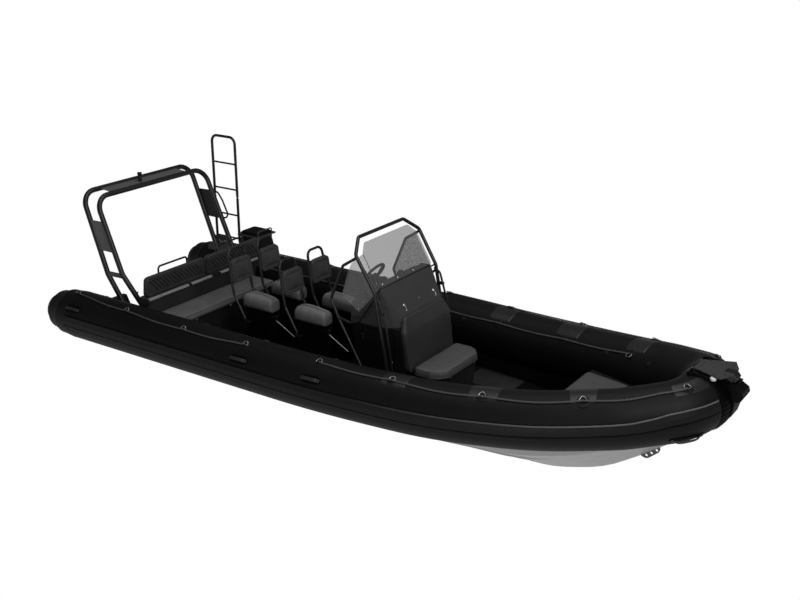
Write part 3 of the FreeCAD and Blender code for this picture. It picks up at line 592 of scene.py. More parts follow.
TRANSOM_BOLT = 12, (0.3, 12), (5, 12), (8, 8), (9, 3)
PANE_BUTTON = (0, 12.5), (2, 12.5), (5, 9.5), (6.5, 4)      # no sides: it stands flat or on a stalk


# Fittings on the collar ----------------------------------------------------------------
# x, and the angle up the tube from straight outboard
D_RINGS = [(-3.53, 79), (-2.63, 67), (-1.69, 61), (-0.79, 67), (0.18, 74), (1.06, 71), (2.03, 64),
           (2.96, 61), (3.72, 66)]
OUTER_RUNS = D_RINGS[:4], D_RINGS[4:]
BASE_R, WIDE_BASE_R, WIDE_BASE_X = 54, 68, 2.96      # radii in millimetres
INNER_RINGS = [(x, 139) for x in (-3.36, -2.63, -1.69, -0.79, 0.18, 1.08, 2.02, 2.93)]
TAB_ONLY = [INNER_RINGS[n] for n in (1, 2, 4, 5, 6)]       # the line passes under a tab, with no ring
ROPE_R = 0.0086
SPOTS_PER_PLACE = 2.4       # points of a life line for each point of LINE
RING_LIFT, RING_REACH = 0.010, 0.07
# x, and the angles of the strake's lower and upper edges
STRAKE_EDGES = [(TUBE_END_X, -9, 15), (1.500, -9, 15), (3.100, -6, 15), (3.310, -4, 17),
                (3.510, -2, 21), (3.690, 5, 28), (3.800, 6, 28)]
LOWER, UPPER = 1, 2
HANDLES = [(-3.430, 35), (-0.780, 32), (0.180, 33), (3.672, -35)]


def d_ring(patches, rings, x, angle, side):
    """Round glued base, webbing tab and, unless rings is None, a D-shaped ring just off it."""
    radius = WIDE_BASE_R if x == WIDE_BASE_X else BASE_R
    disc(patches, x, angle, (28, (-4, radius), (1.6, radius), (3.2, radius * 0.93), (3.6, radius * 0.5)), side)
    point, normal, ahead = on_tube(place_at(x), angle, 0.004, side)
    across = normal.cross(ahead).normalized() * side
    tab = [(-0.045, 0), (-0.041, 0.004), (-0.006, 0.006), (0.006, 0.013), (0.015, 0.007), (0.006, 0.001)]
    patches.pipe([point + across * along + normal * lift for along, lift in tab], 0, 12,
                 flat=(0.040, 0.003, normal))
    if rings:
        shape = [(-0.033, 0.0), (0.033, 0.0), (0.034, 0.014), (0.022, 0.040), (0.0, 0.052), (-0.022, 0.040),
                 (-0.034, 0.014)]
        lean = (-across * 0.96 + normal * 0.26).normalized()
        rings.pipe([point + ahead * u + lean * (v - 0.004) + normal * 0.010 for u, v in shape], 0.0042, 8,
                   closed=True)


def line_path(stations, side, lift, sag):
    """A taut line over the tube from ring to ring, easing down a little in every bay."""
    start, end = place_at(stations[0][0]), place_at(stations[-1][0])
    count = int((end - start) * SPOTS_PER_PLACE)
    spots = []
    for n in range(count + 1):
        place = start + (end - start) * n / count
        x = collar_at(place)[0].x
        low = max([s for s in stations if s[0] <= x + 1e-6] or stations[:1])
        high = min([s for s in stations if s[0] > x + 1e-6] or stations[-1:])
        bay = high[0] - low[0]
        share = (x - low[0]) / max(bay, 1e-6)
        angle = low[1] + (high[1] - low[1]) * smooth_step(share)
        angle -= sag * sin(pi * share) ** 2 * (1 if angle < 90 else -1)
        near = max(0.0, 1 - min(share, 1 - share) * bay / RING_REACH) if bay > 0 else 1.0
        spots.append(on_tube(place, angle, lift + RING_LIFT * smooth_step(near), side)[0])
    return spots


def make_life_lines():
    for side, name in SIDES:
        rope = Build()
        for run in OUTER_RUNS:
            path = line_path(run, side, 0.0090, 3.0 if side < 0 else 0.3)
            rope.pipe(path, ROPE_R, laid=True)
            for end, inner in ((path[0], path[6]), (path[-1], path[-7])):
                way = (end - inner).normalized()
                rope.pipe([inner, inner + way * 0.02, end + way * 0.004], (0.0085, 0.0098, 0.006))
        rope.soft("outer_life_line_" + name, ROPE)
        rope = Build()
        rope.pipe(line_path(INNER_RINGS, side, 0.0075, 2.0), ROPE_R, laid=True)
        rope.soft("inner_life_line_" + name, ROPE)
        patches, rings = Build(), Build()
        for ring in D_RINGS + INNER_RINGS:
            d_ring(patches, None if ring in TAB_ONLY else rings, *ring, side)
        patches.crisp("d_ring_patches_" + name, PATCH)
        rings.soft("d_rings_" + name, STEEL)


def make_wear_patches():
    """Treads to step on, wraps over the bow half, and the tapes where the cones begin."""
    for side, name in SIDES:
        tread, wraps, tapes = Build(), Build(), Build()
        patch(tread, -0.70, 0.10, 83, 107, 0.0030, side, 0.25, (60, 14))
        patch(tread, -2.30, -1.95, 84, 108, 0.0030, side, 0.25, (30, 14))
        for x0, x1 in ((0.93, 1.23), (1.87, 2.18), (2.83, 3.08)):
            patch(wraps, x0, x1, 58, 133, 0.0026, side, 0.20, (20, 34))
        patch(wraps, 3.640, 3.796, 55, 85, 0.0026, side, 0.20, (12, 20))
        for low, high, rows in ((22, 205, 60), (-80, -12, 26)):
            patch(tapes, -3.557, -3.530, low, high, 0.0008, side, 0.0, (4, rows))
        tread.soft("boarding_patches_" + name, TREAD)
        wraps.soft("wear_wraps_" + name, WRAP)
        tapes.soft("seam_tapes_" + name, FABRIC)


def strake_line(side, edge, turn, lift, count=420):
    """A run of points along the rub strake, turn degrees off its lower or upper edge."""
    start, end, spots = place_at(-3.553), place_at(3.786), []
    for n in range(count + 1):
        place = start + (end - start) * n / count
        angle = between(STRAKE_EDGES, collar_at(place)[0].x, edge) + turn
        spots.append(on_tube(place, angle, lift, side)[0])
    return spots


def make_strake_trim():
    """Bead along the strake's upper edge with a painted highlight, a welt along its lower edge and a bead in
    the crease under it, both near-black as painted shade, and the glued flange below.
    """
    for side, name in SIDES:
        ridge, groove, flange = Build(), Build(), Build()
        # the upper bead carries the painted highlight of STRAKE_EDGE
        ridge.pipe(strake_line(side, UPPER, -1.0, 0.0185), 0.0080, 12)
        # painted shade: near-black beads along the strake's lower edge and in the crease under it
        groove.pipe(strake_line(side, LOWER, 1.2, 0.0165), 0.0062, 10)
        groove.pipe(strake_line(side, LOWER, -1.6, 0.0020), 0.0045, 8)
        patch(flange, -3.54, 2.60, -16, -9.5, 0.0010, side, 0.0, (260, 4))
        ridge.soft("strake_ridge_" + name, STRAKE_EDGE)
        groove.soft("strake_welt_shade_" + name, RUBBER_DARK)
        flange.soft("strake_flanges_" + name, FABRIC)


def make_handles():
    """Carry handles: a stepped rubber base and a webbing grip, laid out by length along the tube."""
    pads, grips = Build(), Build()
    for x, angle in HANDLES:
        for side, _ in SIDES:
            middle = place_at(x)
            for reach, rise, thick in ((6.3, 8.5, 0.0035), (5.5, 6.0, 0.0085)):
                x0, x1 = [collar_at(middle + way * reach)[0].x for way in (-1, 1)]
                patch(pads, x0, x1, angle - rise, angle + rise, thick, side, 0.9, (30, 14))
            spots = []
            for n in range(25):
                t = n / 12 - 1
                point, normal, _ = on_tube(middle + 4.5 * t, angle, 0, side)
                spots.append(point + normal * (0.008 + 0.026 * (1 - t ** 4)))
            grips.pipe(spots, 0, 12, flat=(0.036, 0.013, on_tube(middle, angle, 0, side)[1]))
            for t in (-4.8, 4.8):
                point, normal, _ = on_tube(middle + t, angle, 0, side)
                grips.lathe(point, normal, GRIP_FOOT)
    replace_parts(pads.crisp("handle_bases", RUBBER_DARK), "carry_handles")
    grips.crisp("handle_grips", GRIP, angle=60)


def make_valves():
    """Valves with turning caps inboard on the tube, and the caps and bands of the stern cones."""
    bodies, caps, ends = Build(), Build(), Build()
    for side, _ in SIDES:
        for x, angle in ((-2.95, 150), (0.62, 150), (2.62, 146), (3.19, 150)):
            disc(bodies, x, angle, VALVE_BASE, side)
            disc(bodies, x, angle, VALVE_BODY, side)
            disc(caps, x, angle, VALVE_CAP, side)
            point, normal, ahead = on_tube(place_at(x), angle, 0.012, side)
            caps.pipe([point - ahead * 0.013, point + ahead * 0.013], 0.0028, 8)
        middle = Vector((CONE_END_X, side * COLLAR_Y, COLLAR_Z))
        ends.lathe(middle + Vector((0.010, 0, 0)), ASTERN, CONE_CAP)
        for back, radius in ((0.172, 0.2750), (0.322, 0.2365)):
            band = [Vector((TUBE_END_X - back, side * COLLAR_Y + radius * cos(tau * k / 72),
                            COLLAR_Z + radius * sin(tau * k / 72))) for k in range(72)]
            ends.pipe(band, 0, 8, closed=True, flat=(0.030, 0.003, None))
    bodies.crisp("valve_bodies", PATCH, slot="black_rubber")
    caps.crisp("valve_caps", RUBBER)
    ends.crisp("cone_ends", RUBBER)


def make_nose():
    """Ribbed rub strap over the nose, and the bow step's gussets, lamps, skirt and bolts."""
    strap, gussets, lenses, skirt, bolts = (Build() for _ in range(5))
    for side, _ in SIDES:
        patch(strap, 3.792, 3.824, -52, 92, 0.007, side, 0.05, (12, 60))
        for angle in range(-46, 84, 9):
            patch(strap, 3.796, 3.821, angle, angle + 4.5, 0.012, side, 0.3, (8, 6))
        y = side * 0.115
        corners = [(3.606, 1.078), (3.702, 1.172), (3.722, 1.172), (3.716, 1.096)]
        gussets.rings([[Vector((x, y + t, z)) for x, z in corners] for t in (-0.003, 0.003)])
        lenses.lathe((3.938, side * 0.196, 1.112), UP, LAMP_LENS)
        skirt.block((3.805, side * 0.219, 1.125), (0.100, 0.012, 0.034), bevel=0.006)
        skirt.block((3.706, side * 0.172, 1.125), (0.012, 0.055, 0.034), bevel=0.006)
        for x, y in ((3.80, 0.135), (3.93, 0.175), (4.02, 0.12), (3.76, 0.04)):
            bolts.lathe((x, side * y, 1.168), UP, STEP_BOLT)
        bolts.lathe((4.092, side * 0.057, 1.112), (0, side, 0), ROLLER_NUT)
    strap.soft("nose_straps", RUBBER_DARK)
    gussets.crisp("step_gussets", ALLOY)
    lenses.soft("lamp_lenses", LAMP)
    skirt.soft("step_skirt", RUBBER_DARK)
    bolts.crisp("step_bolts", BLACK)


# Cushions ------------------------------------------------------------------------------
def offset_outline(outline, inset):
    """A closed convex outline moved inwards."""
    count, moved = len(outline), []
    area = sum(a[0] * b[1] - b[0] * a[1] for a, b in zip(outline, outline[1:] + outline[:1]))
    turn = 1 if area > 0 else -1
    for i, (u, v) in enumerate(outline):
        before, after = outline[i - 1], outline[(i + 1) % count]
        du, dv = after[0] - before[0], after[1] - before[1]
        length = hypot(du, dv) or 1.0
        moved.append((u - turn * dv / length * inset, v + turn * du / length * inset))
    return moved


def rounded_outline(corners, bend, step=0.02):
    """Closed outline with rounded corners and even points along its straight sides."""
    first = [(corners[0][i] + corners[-1][i]) / 2 for i in (0, 1)]
    path = arc_points([(*first, 0)] + [(*c, 0) for c in corners] + [(*first, 0)], bend, step)
    made = []
    for a, b in zip(path, path[1:]):
        count = max(1, int((b - a).length / step))
        made += [tuple(a.lerp(b, n / count))[:2] for n in range(count)]
    return made


def remeshed(piece, size):
    """Swaps the piece's mesh for an even one of the given voxel size."""
    modifier = piece.modifiers.new("even_mesh", "REMESH")
    modifier.mode, modifier.voxel_size, modifier.use_smooth_shade = "VOXEL", size, True
    graph = bpy.context.evaluated_depsgraph_get()
    old, piece_mesh = piece.data, bpy.data.meshes.new_from_object(piece.evaluated_get(graph))
    piece.modifiers.clear()
    piece.data = piece_mesh
    bpy.data.meshes.remove(old)


SIM_FRAMES = 20


def swell(piece, held, cap):
    """Blows the piece up as sewn cloth: held(point) says where it is stitched or rests."""
    mesh = piece.data
    pins = piece.vertex_groups.new(name="stitched")
    pins.add([vertex.index for vertex in mesh.vertices if held(vertex.co)], 1.0, "REPLACE")
    before = [vertex.co.copy() for vertex in mesh.vertices]
    scene = bpy.context.scene
    cloth = piece.modifiers.new("stuffing", "CLOTH")
    for key, value in dict(quality=5, mass=0.3, tension_stiffness=12, compression_stiffness=12,
                           bending_stiffness=2.0, use_pressure=True, uniform_pressure_force=4.0,
                           vertex_group_mass=pins.name).items():
        setattr(cloth.settings, key, value)
    cloth.settings.effector_weights.gravity = 0
    cloth.collision_settings.use_collision = False
    cloth.collision_settings.use_self_collision = False
    cloth.point_cache.frame_start, cloth.point_cache.frame_end = 1, SIM_FRAMES
    for frame_number in range(1, SIM_FRAMES + 1):
        scene.frame_set(frame_number)
    swollen = piece.evaluated_get(bpy.context.evaluated_depsgraph_get())
    moves = [after.co - start for after, start in zip(swollen.to_mesh().vertices, before)]
    swollen.to_mesh_clear()
    piece.modifiers.clear()
    scene.frame_set(1)
    share = min(1.0, cap / max(move.length for move in moves))
    for vertex, start, move in zip(mesh.vertices, before, moves):
        vertex.co = start + move * share
    mesh.update()


def near_line(point, line, closed=True):
    """Distance from a point to a run of points."""
    best = 1e9
    for a, b in zip(line, line[1:] + line[:1] if closed else line[1:]):
        run = b - a
        t = max(0.0, min(1.0, (point - a).dot(run) / max(run.length_squared, 1e-12)))
        best = min(best, (point - a - run * t).length_squared)
    return sqrt(best)


def spread(piece, copies, name):
    """Moves a piece to the first of several places and copies of it to the others."""
    made = [piece]
    for n in range(1, len(copies)):
        one = bpy.data.objects.new("%s_%d" % (name, n + 1), piece.data.copy())
        bpy.context.scene.collection.objects.link(one)
        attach(one, "boat")
        made.append(one)
    for one, shift in zip(made, copies):
        one.data.transform(Matrix.Translation(shift))
    return made


FINE_ENOUGH = 8000          # faces: a pad with more is not divided once more


def upholster(made, node):
    """Skins the swollen pads, and lets the first stand for its CAD node."""
    for one in made:
        if len(one.data.polygons) < FINE_ENOUGH:
            skin = one.modifiers.new("smooth_skin", "SUBSURF")
            skin.levels = skin.render_levels = 1
    if node:
        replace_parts(made[0], node)


PAD_INSET, SEAM_SHARE, GROOVE_WIDTH, PIPING_R = 0.004, 0.29, 0.011, 0.0045
FACE_FROM = 0.6             # the share of a pad's depth above which it is its face
RESTS_BELOW = 0.012         # how far up the back a pad is held by what it rests on


def pad(name, outline, depth, place, material, node, voxel, cap, edge, bend, channels=(), sink=0.006,
        crown=0.0, body="boat", copies=(Vector(),), back_seam=True, border=0.0, shade_grooves=False):
    """A sewn pad: outline (u, v), its back at w = 0 and its face at w = depth; place maps u, v, w.

    edge is the rounding towards the face, channels are stitched lines over the face, sink deep,
    border sets a second seam that far inside the edge, and shade_grooves lays near-black pipes in the channels
    as painted shade.
    """
    outline = rounded_outline(outline, bend)
    face = depth - PAD_INSET

    def loop(inset, w):
        return [Vector((u, v, w)) for u, v in offset_outline(outline, PAD_INSET + inset)]
    # the back's edge: height and inset as shares of the edge
    rings = [loop(edge * inset, edge * height) for height, inset in ((0, 0.22), (0.3, 0.048), (0.6, 0))]
    for angle in (0, 30, 60, 90):
        turn = radians(angle)
        rings.append(loop(edge * (1 - cos(turn)), face - edge * (1 - sin(turn))))
    shape = Build()
    shape.rings(rings)
    piece = shape.soft(name, material, body)
    remeshed(piece, voxel)
    seam = loop(edge * SEAM_SHARE, face - edge * SEAM_SHARE)
    inner = loop(border, face) if border else None
    lines = [([Vector((u, v, face)) for u, v in line], False) for line in channels]
    grooves = lines + ([(inner, True)] if inner else [])
    middle = [sum(p[i] for p in outline) / len(outline) for i in (0, 1)]
    reach = [max(abs(p[i] - middle[i]) for p in outline) for i in (0, 1)]
    for vertex in piece.data.vertices:
        co = vertex.co
        if co.z > depth * FACE_FROM:
            drop = max([exp(-(near_line(co, *groove) / GROOVE_WIDTH) ** 2) for groove in grooves], default=0)
            u, v = (co.x - middle[0]) / reach[0], (co.y - middle[1]) / reach[1]
            co.z += crown * max(0.0, 1 - u ** 4) * max(0.0, 1 - v ** 4) - sink * drop

    def held(co):
        if co.z < RESTS_BELOW or near_line(co, seam) < voxel * 1.1:
            return True
        return co.z > depth * FACE_FROM and any(
            near_line(co, [Vector((p.x, p.y, co.z)) for p in line], closed) < voxel * 0.8
            for line, closed in grooves)

    swell(piece, held, cap)
    for vertex in piece.data.vertices:
        vertex.co = place(*vertex.co)
    sides = [place(*corner) - place(0, 0, 0) for corner in ((1, 0, 0), (0, 1, 0), (0, 0, 1))]
    if sides[0].cross(sides[1]).dot(sides[2]) < 0:
        piece.data.flip_normals()
    welts = Build()
    welts.pipe([place(*p) for p in seam], PIPING_R, 8, closed=True)
    if back_seam:
        welts.pipe([place(*p) for p in loop(0, 0.014)], PIPING_R, 8, closed=True)
    if inner:
        welts.pipe([place(p.x, p.y, p.z - sink * 0.55) for p in inner], PIPING_R * 0.8, 8, closed=True)
    welt = welts.soft(name + "_piping", PIPING, body)
    # painted shade: near-black pipes sunk along the channels darken the stitched grooves
    if shade_grooves:
        seams = Build()
        for line, _ in lines:
            seams.pipe([place(p.x, p.y, p.z - sink) for p in line], 0.0042, 8)
        seams.soft(name + "_channels", RUBBER_DARK, body, "cushion")
    made = spread(piece, copies, name)
    spread(welt, copies, name + "_piping")
    upholster(made, node)


def make_saddles():
    # x ahead of the row, half width, top
    stations = [(0.036, 0.062, 0.806), (0.044, 0.080, 0.842), (0.070, 0.094, 0.872), (0.150, 0.102, 0.890),
                (0.290, 0.102, 0.886), (0.410, 0.097, 0.872), (0.464, 0.090, 0.856), (0.480, 0.078, 0.832)]
    low, sewn_above = 0.7055, 0.76
    shape, rings = Build(), []
    for x, half, top in stations:
        ring, middle = [], low + 0.42 * (top - low)
        for n in range(40):
            c, s = cos(tau * n / 40), sin(tau * n / 40)
            rise = (top - middle) * abs(s) ** 0.75 if s > 0 else -(middle - low) * min(1.0, abs(s) ** 0.5)
            ring.append(Vector((x, half * copysign(abs(c) ** 0.55, c), middle + rise)))
        rings.append(ring)
    shape.rings(rings)
    # painted light: the whole saddle takes the pale lit copy of the vinyl
    piece = shape.soft("saddle", VINYL_SADDLE_LIT)
    remeshed(piece, 0.0075)

    def seam_line(share_y, share_z):
        xs = [0.050 + 0.418 * n / 29 for n in range(30)]
        return [Vector((x, between(stations, x) * share_y, low + (between(stations, x, 2) - low) * share_z))
                for x in xs]

    ridges = [seam_line(0.60, 0.885), seam_line(-0.60, 0.885), seam_line(0, 0.99)]

    def to_seam(co):
        return min(near_line(co, line, False) for line in ridges)

    for vertex in piece.data.vertices:
        if vertex.co.z > sewn_above:
            vertex.co.z -= 0.0045 * exp(-(to_seam(vertex.co) / 0.009) ** 2)
    swell(piece, lambda co: co.z < low + RESTS_BELOW or (co.z > sewn_above and to_seam(co) < 0.007), 0.009)
    welts, base = Build(), Build()
    for line in ridges:
        welts.pipe([p - Vector((0, 0, 0.0015)) for p in line], 0.0040, 8)
    welt = welts.soft("saddle_piping", PIPING)
    plan = rounded_outline([(0.060, -0.062), (0.462, -0.055), (0.462, 0.055), (0.060, 0.062)], 0.03)
    base.rings([[Vector((x, y * share, z)) for x, y in plan]
                for z, share in ((0.6995, 0.96), (0.7015, 1.0), (0.7070, 1.0))])
    made = spread(piece, SEATS, "saddle")
    spread(welt, SEATS, "saddle_piping")
    spread(base.soft("saddle_base", RUBBER), SEATS, "saddle_base")
    upholster(made, "jockey_cushions")


def make_back_pads():
    lean = -28 / 240
    outline = [(-0.178, 1.012), (0.178, 1.012), (0.160, 1.262), (0.128, 1.292), (-0.128, 1.292),
               (-0.160, 1.262)]
    pad("seat_back", outline, 0.056, lambda u, v, w: Vector((lean * (v - 1.043) - 0.041 + w, u, v)), VINYL,
        "jockey_backrests", 0.007, 0.010, 0.020, 0.035, copies=SEATS, border=0.042, sink=0.007, crown=0.002)


def make_bench_pads():
    low, high, back = 0.8303, 1.0745, -2.719
    outline = [(0.012, low), (1.008, low), (1.008, high), (0.012, high)]
    starts = [0.126 + 0.0590 * n for n in range(14)]
    for side, name in SIDES:
        def place(u, v, w):
            share = (v - low) / (1.075 - low)
            rear, front = back + 0.030 + 0.028 * share, back + 0.096 + 0.038 * share
            return Vector((rear + (front - rear) * w / 0.070, side * u, v))
        slants = [[(start + side * 0.078, low + 0.045), (start - side * 0.078, high - 0.042)]
                  for start in starts]
        # the bench backs' channels get painted shade from near-black pipes
        pad("bench_back_" + name, outline, 0.070, place, VINYL, "bench_backrests" if side > 0 else None,
            0.0085, 0.009, 0.020, 0.050, slants, border=0.030, sink=0.008, shade_grooves=True)


def make_flat_pads():
    """Seat lid, console backrest, locker lid and bench lid."""
    def mirrored(half):
        return half + [(x, -y) for x, y in half[::-1]]

    def lying(z):
        return lambda u, v, w: Vector((u, v, z + w))

    # height, and where the backrest's rear and front are
    rows = [(0.4708, 0.680, 0.778), (0.933, 0.640, 0.706), (1.090, 0.600, 0.658)]

    def against_console(u, v, w):
        rear, front = between(rows, v), between(rows, v, 2)
        return Vector((rear + (front - rear) * w / 0.070, u, v))
    pad("console_seat", mirrored([(0.790, 0.440), (1.005, 0.445), (1.090, 0.395), (1.165, 0.300)]), 0.094,
        lying(0.4708), VINYL_SEAT_LIT, "console_seat_lid", 0.010, 0.012, 0.030, 0.045, crown=0.004, body="seat_lid")
    outline = [(-0.448, 0.4708), (0.448, 0.4708), (0.464, 0.933), (0.384, 1.088), (-0.384, 1.088),
               (-0.464, 0.933)]
    pad("console_back", outline, 0.070, against_console, VINYL_DARK, "console_backrest", 0.010, 0.014, 0.030,
        0.060, crown=0.003, back_seam=False)
    pad("bow_locker_top", mirrored([(2.405, 0.470), (2.890, 0.375), (2.960, 0.300)]), 0.051, lying(0.5455),
        VINYL_SEAT_LIT, "bow_locker_lid", 0.010, 0.008, 0.020, 0.045, crown=0.002, body="locker_lid")
    pad("bench_seat_top", [(-2.629, -0.860), (-2.226, -0.860), (-2.226, 0.860), (-2.629, 0.860)], 0.079,
        lying(0.5208), VINYL_BENCH_LIT, "bench_lid", 0.011, 0.009, 0.024, 0.040,
        [[(-2.61, y), (-2.245, y)] for y in (-0.29, 0.29)], body="bench_seat")


def knuckles(name, body, x, z, leaf, ys):
    """The moving knuckle and leaf of each pin hinge that a padded lid turns on."""
    hinge, (x0, x1, z0, z1) = Build(), leaf
    for y in ys:
        hinge.lathe((x, y - 0.015, z), (0, 1, 0), KNUCKLE)
        hinge.block(((x0 + x1) / 2, y, (z0 + z1) / 2), ((x1 - x0) / 2, 0.015, (z1 - z0) / 2), bevel=0.001)
    hinge.crisp(name, STEEL, body)


# Console, dash and stern details -------------------------------------------------------
PANE_FOOT = (0.400, 1.4015)
PANE_LEAN = 0.5856


def make_glazing():
    """Front pane with softened edges, the two side wings that meet it, their bolts and the seal."""
    pane, wings, bolts, seal = (Build() for _ in range(4))
    outline = [(0.522, PANE_FOOT[1]), (0.522, 1.748), (0.415, 1.846)]
    outline = rounded_outline(outline + [(-y, z) for y, z in outline[::-1]], 0.030, 0.03)
    pane.rings([[Vector((PANE_FOOT[0] - PANE_LEAN * (z - PANE_FOOT[1]) + ahead, y, z))
                 for y, z in offset_outline(outline, shrink)]
                for ahead, shrink in ((0.0, 0.0015), (0.0015, 0.0), (0.0065, 0.0), (0.008, 0.0015))])
    shape = rounded_outline([(-0.095, 1.246), (-0.022, 1.479), (0.034, 1.614), (0.182, 1.742), (0.1985, 1.742),
                             (0.3965, 1.4045), (0.320, 1.296), (0.118, 1.070)], 0.018, 0.03)
    for side, _ in SIDES:
        wings.rings([[Vector((x, side * y, z)) for x, z in offset_outline(shape, shrink)]
                     for y, shrink in ((0.4955, 0.001), (0.4965, 0.0), (0.5005, 0.0), (0.5015, 0.001))])
        for x, z in ((0.251, 1.332), (0.114, 1.110), (0.330, 1.345), (0.180, 1.205)):
            bolts.lathe((x, side * 0.5015, z), (0, side, 0), (16, *PANE_BUTTON))
    stalked = 16, (7, 10), *((height + 8, radius) for height, radius in PANE_BUTTON)
    for y in (-0.44, -0.15, 0.15, 0.44):
        bolts.lathe((0.3955, y, 1.425), (0.8629, 0, 0.5053), stalked)
    seal.pipe([(0.410, y, 1.4025) for y in (-0.490, 0.0, 0.490)], 0.0050)
    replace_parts(pane.crisp("front_pane", SCREEN), "windscreen")
    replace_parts(wings.crisp("side_panes", WING), "screen_wings")
    bolts.crisp("pane_bolts", STEEL)
    seal.soft("pane_seal", RUBBER)


def make_wheel():
    """Rim with a finger grip, three flat spokes, a boss with its cap."""
    rake = radians(35)
    axis, up = Vector((-cos(rake), 0, sin(rake))), Vector((sin(rake), 0, cos(rake)))
    centre = Vector((-0.005, 0, 1.312)) + axis * 0.037
    wheel, cap = Build(), Build()
    turns = [tau * n / 120 for n in range(120)]
    wheel.pipe([centre + (Vector((0, cos(a), 0)) + up * sin(a)) * 0.158 for a in turns],
               [0.0158 + 0.0007 * cos(n * pi / 2) for n in range(120)], 14, closed=True)
    for degrees in (90, 210, 330):
        a = radians(degrees)
        way = Vector((0, -sin(a), 0)) + up * cos(a)
        run = [centre - axis * 0.030 + way * 0.030, centre - axis * 0.020 + way * 0.075, centre + way * 0.148]
        wheel.pipe(run, 0, 12, flat=(0.026, 0.009, axis))
    wheel.lathe(centre - axis * 0.0815, axis, WHEEL_HUB)
    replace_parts(wheel.crisp("helm_wheel", RUBBER, "wheel", 50), "steering_wheel")
    cap.lathe(centre, axis, HUB_CAP)
    cap.crisp("wheel_boss", STEEL, "wheel")


def make_dash():
    """Blank screens, gauges, rocker switches and a compass on the dash's slope, facing the helm."""
    low, high = Vector((0.030, 0, 1.180)), Vector((0.300, 0, 1.398))
    run = (high - low).normalized()
    face = Vector((-run.z, 0, run.x))
    turn = Matrix((run, Vector((0, 1, 0)), face)).transposed()

    def at(share, y, lift):
        return low.lerp(high, share) + Vector((0, y, 0)) + face * lift
    frames, glass, rims, keys = (Build() for _ in range(4))
    for share, y, half_run, half_y in ((0.66, 0.255, 0.085, 0.140), (0.70, -0.020, 0.050, 0.080)):
        frames.block(at(share, y, 0.007), (half_run, half_y, 0.007), turn, 0.004)
        glass.block(at(share, y, 0.0145), (half_run - 0.012, half_y - 0.012, 0.0008), turn, 0.0006)
    for y in (-0.170, -0.255, -0.340):
        rims.lathe(at(0.80, y, 0), face, GAUGE_RIM)
        glass.lathe(at(0.80, y, 0.0068), face, GAUGE_GLASS)
    for n in range(6):
        keys.block(at(0.28, 0.170 + 0.034 * n, 0.004), (0.015, 0.010, 0.004), turn, 0.002)
        keys.block(at(0.30, 0.170 + 0.034 * n, 0.0085), (0.006, 0.008, 0.002), turn, 0.0015)
    for y in (-0.42, -0.37):
        keys.lathe(at(0.28, y, 0), face, DASH_KNOB)
    # compass bowl on the top edge
    frames.lathe((0.335, 0, 1.398), UP, COMPASS_RIM)
    glass.lathe((0.335, 0, 1.431), UP, COMPASS_BOWL)
    frames.crisp("dash_frames", BLACK)
    glass.crisp("dash_screens", DARK_GLASS)
    rims.crisp("gauge_rims", STEEL)
    keys.crisp("dash_switches", RUBBER)


def make_console_front():
    """Lamps and button ahead, and on each side a door's seam, hinges and flush latch."""
    down = (Vector((0.624, 0, 1.093)) - Vector((0.419, 0, 1.382))).normalized()
    out = Vector((-down.z, 0, down.x))
    bright, dark = Build(), Build()
    for y in (-0.276, 0.308):
        spot = Vector((0.5645, y, 1.177)) + out * 0.0005
        bright.lathe(spot, out, EYE_LARGE)
        bright.lathe(spot + down * 0.060, out, EYE_SMALL)
        stalk = [(0.006, 0), (0.010, 0.03), (0.005, 0.058)]
        bright.pipe([spot + out * lift + down * along for lift, along in stalk], 0.005, 8)
    spot = Vector((0.565, 0.019, 1.176)) + out * 0.0005
    bright.lathe(spot, out, CONSOLE_STUD)
    seam = rounded_outline([(0.13, 0.20), (0.56, 0.20), (0.56, 0.90), (0.13, 0.90)], 0.04, 0.05)
    for side, _ in SIDES:
        dark.pipe([(x, side * 0.4565, z) for x, z in seam], 0.0035, 8, closed=True)
        for z in (0.32, 0.78):
            bright.block((0.142, side * 0.4575, z), (0.020, 0.003, 0.028), bevel=0.001)
        bright.lathe((0.520, side * 0.455, 0.56), (0, side, 0), DOOR_LATCH)
    bright.crisp("console_fittings", LAMP_METAL)
    dark.soft("console_door_seams", RUBBER_DARK)


def make_deck_fittings():
    """Hatches in the foredeck with their rims, paler than the deck as painted light on that part of the deck,
    and round plates along the middle of the deck.
    """
    hatches, rims, drains = (Build() for _ in range(3))
    for side, _ in SIDES:
        shape = rounded_outline([(0.900, side * 0.430), (1.500, side * 0.430), (1.500, side * 0.800),
                                 (0.900, side * 0.845)], 0.03, 0.05)
        hatches.rings([[Vector((x, y, DECK_Z + rise)) for x, y in offset_outline(shape, inset)]
                       for rise, inset in ((0.0005, 0.0), (0.0045, 0.0), (0.006, 0.002))])
        rims.pipe([(x, y, DECK_Z + 0.0035) for x, y in offset_outline(shape, -0.006)], 0.0030, 8, closed=True)
    for x in (-2.05, -0.62, 1.66, 2.05):
        drains.lathe((x, 0, DECK_Z), UP, DECK_PLATE)
    hatches.soft("deck_hatches", HATCH_LIT)
    rims.crisp("hatch_rims", BLACK)
    drains.crisp("deck_plates", BOARD)


def make_seat_fittings():
    """Knobs, latches and mounting screws on the jockey seats and their pods."""
    knobs, screws = Build(), Build()
    for seat in SEATS:
        for side, _ in SIDES:
            for x, z in ((0.108, 0.655), (0.452, 0.655), (0.108, 0.475), (0.452, 0.475)):
                screws.lathe(seat + Vector((x, side * 0.0785, z)), (0, side, 0), SEAT_SCREW)
        knobs.lathe(seat + Vector((0.4775, 0, 0.640)), AHEAD, SEAT_KNOB)
        for y in (0.052, -0.052):
            knobs.lathe(seat + Vector((0.4775, y, 0.655)), AHEAD, SEAT_STUD)
    knobs.crisp("seat_knobs", RUBBER)
    screws.crisp("seat_screws", BLACK)


